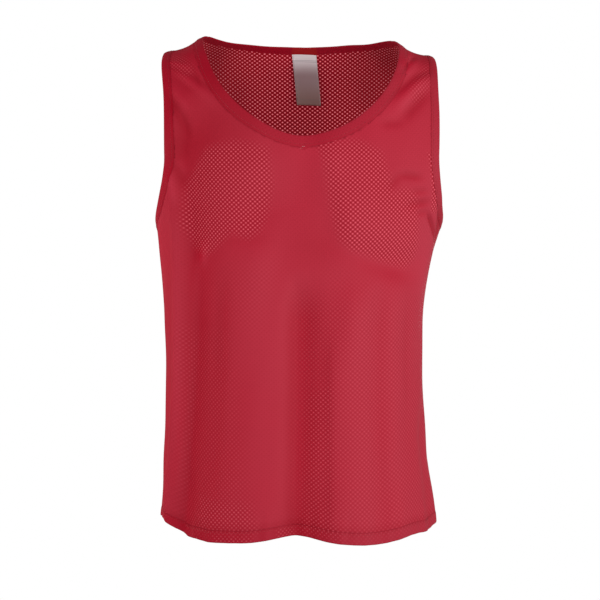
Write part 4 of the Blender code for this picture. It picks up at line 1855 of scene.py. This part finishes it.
@dataclass
class NeckLabel:
    """A satin label sewn into the back neck seam, lying over the inside of the back."""

    pattern: Pattern
    material: Material
    width: float = 0.035
    length: float = 0.073
    run: float = 0.064  # its length along the run, which the form draws out here
    centre: float = 0.006
    lean: float = 0.0072  # how far its free end hangs towards the wearer's left
    gap: float = 0.0003  # from the neck's cut line to its top
    depth: float = 0.0014  # from the middle of the cloth to the middle of the label
    clearance: float = 0.0018
    clear_by: float = 0.3  # share of its length over which that grows
    lift: float = 0.0035  # more air at its free end
    curl: float = 0.0008  # its long edges stand off a little
    curl_by: float = 0.4
    ripple: float = 0.0004
    ripple_turns: Pair = (9, 2)  # radians down and across
    thickness: float = 0.0004
    columns: int = 14
    rows: int = 32

    def build(self) -> Object:
        """Make the label.

        Returns:
            The label.
        """
        top = self.pattern.neck_drops[1] + self.gap
        side, down = np.meshgrid(np.linspace(-0.5, 0.5, self.columns + 1), np.linspace(0, 1, self.rows + 1))
        across = self.centre + self.width * side + self.lean * down
        cloth = np.stack([across, -(top + self.run * down)], axis=2).reshape(-1, 2)
        side, down = side.ravel(), down.ravel()
        depth = self.depth + self.clearance * soft_step(down / self.clear_by) + self.lift * down**2
        depth = depth + self.curl * (2 * side) ** 2 * soft_step(down / self.curl_by)
        depth = depth + self.ripple * np.sin(self.ripple_turns[0] * down + self.ripple_turns[1] * side)
        row = self.columns + 1
        faces = [
            (r * row + c, r * row + c + 1, (r + 1) * row + c + 1, (r + 1) * row + c)
            for r in range(self.rows)
            for c in range(self.columns)
        ]
        flat = np.stack([(side + 0.5) * self.width, down * self.length], axis=1)
        places = self.pattern.form.worn(cloth, -depth)
        obj = new_piece("satin_neck_label", places, faces, self.material, flat)
        thickened(obj, self.thickness)
        turn_outwards(obj)
        return obj


# ------------------------------------------ stitches
@dataclass(frozen=True)
class StitchRow:
    """A row of stitches along a line on the cloth."""

    name: str
    line: Array  # rows of (across, run)
    outside: float
    thread: Material
    closed: bool = False
    spacing: float = 0.0032
    length: float = 0.0022
    width: float = 0.00046
    height: float = 0.00040


class StitchMachine(Nodes):
    """Sews rows of stitches with one node tree."""

    OUTWARD = "outward"
    UNEVEN = {2: 0.44, 3: 0.54, "Seed": 7}  # shares of their size that the stitches have
    BALL = {"Segments": 6, "Rings": 4, "Radius": 1.0}

    def __init__(self, form: WornForm) -> None:
        """Build the node tree.

        Args:
            form: the form that the stitches lie on.
        """
        super().__init__(bpy.data.node_groups.new("stitches_along_a_line", "GeometryNodeTree"))
        self.form = form
        self.sockets: dict[str, str] = {}
        face = self.tree.interface
        face.new_socket("Geometry", in_out="OUTPUT", socket_type="NodeSocketGeometry")
        kinds = {"Geometry": "Geometry", "Thread": "Material"}
        for name in ("Geometry", "Spacing", "Length", "Width", "Height", "Thread"):
            kind = f"NodeSocket{kinds.get(name, 'Float')}"
            self.sockets[name] = face.new_socket(name, in_out="INPUT", socket_type=kind).identifier
        self.fill()

    def fill(self) -> None:
        """Lay out the tree: even points on the line, a turned stitch on each, one mesh."""
        given = self.node("NodeGroupInput").outputs
        line = self.node("GeometryNodeMeshToCurve", {"Mesh": given["Geometry"]})
        spaced = {"Curve": line, "Length": given["Spacing"]}
        even = self.node("GeometryNodeResampleCurve", spaced, mode="LENGTH")
        tangent = self.node("GeometryNodeInputTangent")
        align = "FunctionNodeAlignRotationToVector"
        lengthwise = self.node(align, {"Vector": tangent}, axis="X")
        named = {"Name": self.OUTWARD}
        outward = self.node("GeometryNodeInputNamedAttribute", named, data_type="FLOAT_VECTOR")
        turned = self.node(align, {"Rotation": lengthwise, "Vector": outward}, axis="Z", pivot_axis="X")
        uneven = self.node("FunctionNodeRandomValue", self.UNEVEN, data_type="FLOAT")
        sizes = {"X": given["Length"], "Y": given["Width"], "Z": given["Height"]}
        size = self.node("ShaderNodeCombineXYZ", sizes)
        scale = {0: size, "Scale": uneven.outputs[1]}
        scaled = self.node("ShaderNodeVectorMath", scale, operation="SCALE")
        ball = self.node("GeometryNodeMeshUVSphere", self.BALL)
        parts = {"Points": even, "Instance": ball, "Rotation": turned, "Scale": scaled}
        laid = self.node("GeometryNodeInstanceOnPoints", parts)
        real = self.node("GeometryNodeRealizeInstances", {"Geometry": laid})
        dyed = self.node("GeometryNodeSetMaterial", {"Geometry": real, "Material": given["Thread"]})
        self.node("NodeGroupOutput", {0: dyed})

    def sew(self, rows: Sequence[StitchRow], name: str) -> Object:
        """Sew rows of stitches.

        Args:
            rows: the rows.
            name: the name of the one piece that they become.

        Returns:
            The piece, a plain mesh.
        """
        whole = bmesh.new()
        threads = list(dict.fromkeys(row.thread for row in rows))
        for row in rows:
            obj = self.row(row)
            first = len(whole.faces)
            whole.from_mesh(obj.data)
            whole.faces.ensure_lookup_table()
            for face in whole.faces[first:]:
                face.material_index = threads.index(row.thread)
            bpy.data.objects.remove(obj)
        mesh = bpy.data.meshes.new(name)
        whole.to_mesh(mesh)
        whole.free()
        for thread in threads:
            mesh.materials.append(thread)
        mesh.shade_smooth()
        return in_scene(name, mesh)

    def row(self, row: StitchRow) -> Object:
        """Sew one row as an object of its own.

        Args:
            row: the row.

        Returns:
            The object, a plain mesh.
        """
        places = self.form.worn(row.line, row.outside)
        outward = self.form.outwards(row.line, places, row.outside)
        count = len(places)
        edges = [(i, (i + 1) % count) for i in range(count if row.closed else count - 1)]
        mesh = bpy.data.meshes.new(row.name)
        mesh.from_pydata([tuple(p) for p in places], edges, [])
        layer = mesh.attributes.new(self.OUTWARD, "FLOAT_VECTOR", "POINT")
        layer.data.foreach_set("vector", outward.ravel())
        obj = in_scene(row.name, mesh)
        sewing = obj.modifiers.new("stitches", "NODES")
        sewing.node_group = self.tree
        for name in ("Spacing", "Length", "Width", "Height", "Thread"):
            sewing[self.sockets[name]] = getattr(row, name.lower())
        settled(obj)
        return obj


@dataclass
class Sewing:
    """Where the bib's rows of stitches run."""

    pattern: Pattern
    trim: Trim
    dye: Dye
    binding_inset: float = 0.0022  # from a binding's seam
    binding_height: float = 0.00112  # off the middle of the cloth
    hem_inset: float = 0.0016
    hem_height: float = 0.00086
    hem_spacing: float = 0.0028  # of the points on the hem's line
    hem_end: float = 0.0008  # from the side seams
    mitre_height: float = 0.0011
    mitre_half: float = 0.0009
    mitre_tacks: tuple[tuple[float, ...], ...] = (
        (-0.0006, 0.0006, 0.0016, 0.0007),  # sideways, down, length, width
        (-0.0036, 0.0026, 0.0010, 0.0004),
    )

    def neck_rows(self) -> list[StitchRow]:
        """A row round the neck binding's seam, and the bar tack at its mitre.

        Returns:
            The rows.
        """
        seam, into = self.trim.neck_seam()
        line = seam + into * self.binding_inset
        rows = [StitchRow("neck_row", line, self.binding_height, self.dye.red_thread, True)]
        centre, low = self.pattern.neck_centres[0], self.pattern.neck_drops[0]
        for k, (side, down, length, width) in enumerate(self.mitre_tacks):
            line = np.array([(centre + side + way * self.mitre_half, low + down) for way in (-1, 1)])
            rows.append(
                StitchRow(
                    f"mitre_tack_{k}", line, self.mitre_height, self.dye.pale_thread,
                    spacing=2 * self.mitre_half, length=length, width=width,
                )
            )
        return rows

    def armhole_rows(self, hand: Hand) -> list[StitchRow]:
        """A row round one armhole binding's seam.

        Args:
            hand: the wearer's left or right.

        Returns:
            The row.
        """
        seam, into = self.trim.armhole_seam(hand)
        line = seam + into * (self.binding_inset / self.pattern.binding_width)
        return [StitchRow("armhole_row", line, self.binding_height, self.dye.red_thread, True)]

    def hem_rows(self, panel: Panel) -> list[StitchRow]:
        """The rows that hold the hem, outside and inside.

        Args:
            panel: the front or the back.

        Returns:
            The rows.
        """
        run = self.pattern.hem_seam + self.hem_inset
        line = self.pattern.level_line(panel, run, self.hem_spacing, self.hem_end)
        return [
            StitchRow(f"hem_row_{side}", line, height, self.dye.red_thread)
            for side, height in (("outside", self.hem_height), ("inside", -self.hem_height))
        ]


# -------------------------------------------- studio
@dataclass(frozen=True)
class SoftLight:
    """A large square studio light aimed at a place."""

    name: str
    place: tuple[float, float, float]
    size: float
    power: float
    aim: tuple[float, float, float] = (0.0, 0.0, -0.35)  # the middle of the bib

    def build(self) -> Object:
        """Hang the light.

        Returns:
            The light.
        """
        lamp = bpy.data.lights.new(self.name, "AREA")
        lamp.shape = "SQUARE"
        lamp.size = self.size
        lamp.energy = self.power
        obj = in_scene(self.name, lamp)
        obj.location = self.place
        way = Vector(self.aim) - Vector(self.place)
        obj.rotation_euler = way.to_track_quat("-Z", "Y").to_euler()
        return obj


@dataclass
class Studio:
    """White paper sweep, soft lights and the camera, level with the middle of the bib."""

    dye: Dye
    floor_drop: float = 0.45  # below the bib's lowest point
    floor_radius: float = 3.2
    bend: float = 1.6
    bend_steps: int = 12
    round_steps: int = 64
    wall_top: float = 5.0
    camera_distance: float = 2.0
    camera_height: float = -0.344
    lens: float = 86.5  # millimetres
    sensor: float = 36.0
    sky: float = 0.353
    lights: tuple[SoftLight, ...] = (
        SoftLight("key_right", (0.95, -1.10, -0.30), 0.8, 11.4),
        SoftLight("right", (2.7, -0.7, -0.2), 1.5, 12.1),
        SoftLight("front_left", (-1.9, -2.1, -0.2), 1.5, 10.0),
        SoftLight("near_left", (-0.95, -1.10, -0.35), 0.8, 3.8),
        SoftLight("left", (-1.35, -0.35, -0.35), 0.8, 2.4),
        SoftLight("left_rear", (-1.40, 0.30, -0.35), 0.8, 3.9),
        SoftLight("rear", (0.8, 3.0, -0.4), 1.5, 12.0),
    )

    def sweep(self) -> Object:
        """A round floor whose rim bends up into a wall, seen by the camera but lighting nothing.

        Returns:
            The sweep.
        """
        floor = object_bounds()[0][2] - self.floor_drop
        turn = np.linspace(0, math.pi / 2, self.bend_steps)
        reach = self.floor_radius + self.bend * np.sin(turn)
        rise = floor + self.bend * (1 - np.cos(turn))
        profile = [(0.0, floor), *zip(reach, rise), (self.floor_radius + self.bend, self.wall_top)]
        work = bmesh.new()
        verts = [work.verts.new((r, 0, z)) for r, z in profile]
        edges = [work.edges.new(pair) for pair in zip(verts, verts[1:])]
        bmesh.ops.spin(
            work, geom=verts + edges, cent=(0, 0, 0), axis=(0, 0, 1), angle=math.tau,
            steps=self.round_steps,
        )
        bmesh.ops.remove_doubles(work, verts=work.verts, dist=1e-5)
        bmesh.ops.recalc_face_normals(work, faces=work.faces)
        mesh = bpy.data.meshes.new("paper_sweep")
        work.to_mesh(mesh)
        work.free()
        mesh.materials.append(self.dye.studio_white)
        mesh.shade_smooth()
        obj = in_scene("paper_sweep", mesh)
        for ray in ("diffuse", "glossy", "shadow", "transmission", "volume_scatter"):
            setattr(obj, f"visible_{ray}", False)
        obj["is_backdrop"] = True
        return obj

    def camera(self) -> Object:
        """The camera, level and square to the front.

        Returns:
            The camera's object.
        """
        lens = bpy.data.cameras.new("camera")
        lens.lens = self.lens
        lens.sensor_width = self.sensor
        obj = in_scene("camera", lens)
        obj.location = (0.0, -self.camera_distance, self.camera_height)
        obj.rotation_euler = (math.pi / 2, 0.0, 0.0)
        bpy.context.scene.camera = obj
        return obj

    def build(self) -> None:
        """Set up the whole studio."""
        scene = bpy.context.scene
        scene.view_settings.view_transform = "Standard"
        world = bpy.data.worlds.new("studio_air")
        world.use_nodes = True
        sky = world.node_tree.nodes["Background"]
        sky.inputs["Color"].default_value = (1.0, 1.0, 1.0, 1.0)
        sky.inputs["Strength"].default_value = self.sky
        scene.world = world
        self.camera()
        self.sweep()
        for light in self.lights:
            light.build()
        LOG.info("studio: %d lights", len(self.lights))


# ----------------------------------------- the whole
@dataclass
class TrainingBib:
    """The whole bib."""

    pattern: Pattern = field(default_factory=lambda: Pattern(WornForm()))
    dye: Dye = field(default_factory=Dye)

    def build(self) -> None:
        """Make every piece, and say what each replaces and how each sheet was cut."""
        trim = Trim(self.pattern, self.dye)
        sewing = Sewing(self.pattern, trim, self.dye)
        machine = StitchMachine(self.pattern.form)
        front = MeshPanel(self.pattern, Panel.FRONT, self.dye.front_mesh).build()
        back = MeshPanel(self.pattern, Panel.BACK, self.dye.back_mesh).build()
        ride(front, "mesh_cloth", "front_panel")
        ride(back, "mesh_cloth", "back_panel")
        neck = trim.neck().build()
        ride(neck, "binding_cloth", "neck_binding")
        neck_stitches = machine.sew(sewing.neck_rows(), "neck_stitches")
        ride(neck_stitches, "binding_cloth")
        on_front, on_back = [neck, neck_stitches], []
        for hand in Hand:
            side = hand.name.lower()
            strip = trim.armhole(hand).build()
            ride(strip, "binding_cloth", f"armhole_binding_{side}")
            stitches = machine.sew(sewing.armhole_rows(hand), f"armhole_stitches_{side}")
            ride(stitches, "binding_cloth")
            on_front += [strip, stitches]
        for panel, kept in ((Panel.FRONT, on_front), (Panel.BACK, on_back)):
            side = panel.name.lower()
            hem = trim.hem(panel).build()
            ride(hem, "hem_cloth", f"{side}_hem")
            stitches = machine.sew(sewing.hem_rows(panel), f"{side}_hem_stitches")
            ride(stitches, "hem_cloth")
            kept += [hem, stitches]
        label = NeckLabel(self.pattern, self.dye.satin).build()
        ride(label, "label_satin", "neck_label")
        on_back.append(label)


def main() -> None:
    """Build the bib and its studio, and note the sizes."""
    logging.basicConfig(level=logging.INFO, format="%(name)s: %(message)s")
    bib = TrainingBib()
    bib.build()
    Studio(bib.dye).build()


if __name__ == "__main__":
    main()
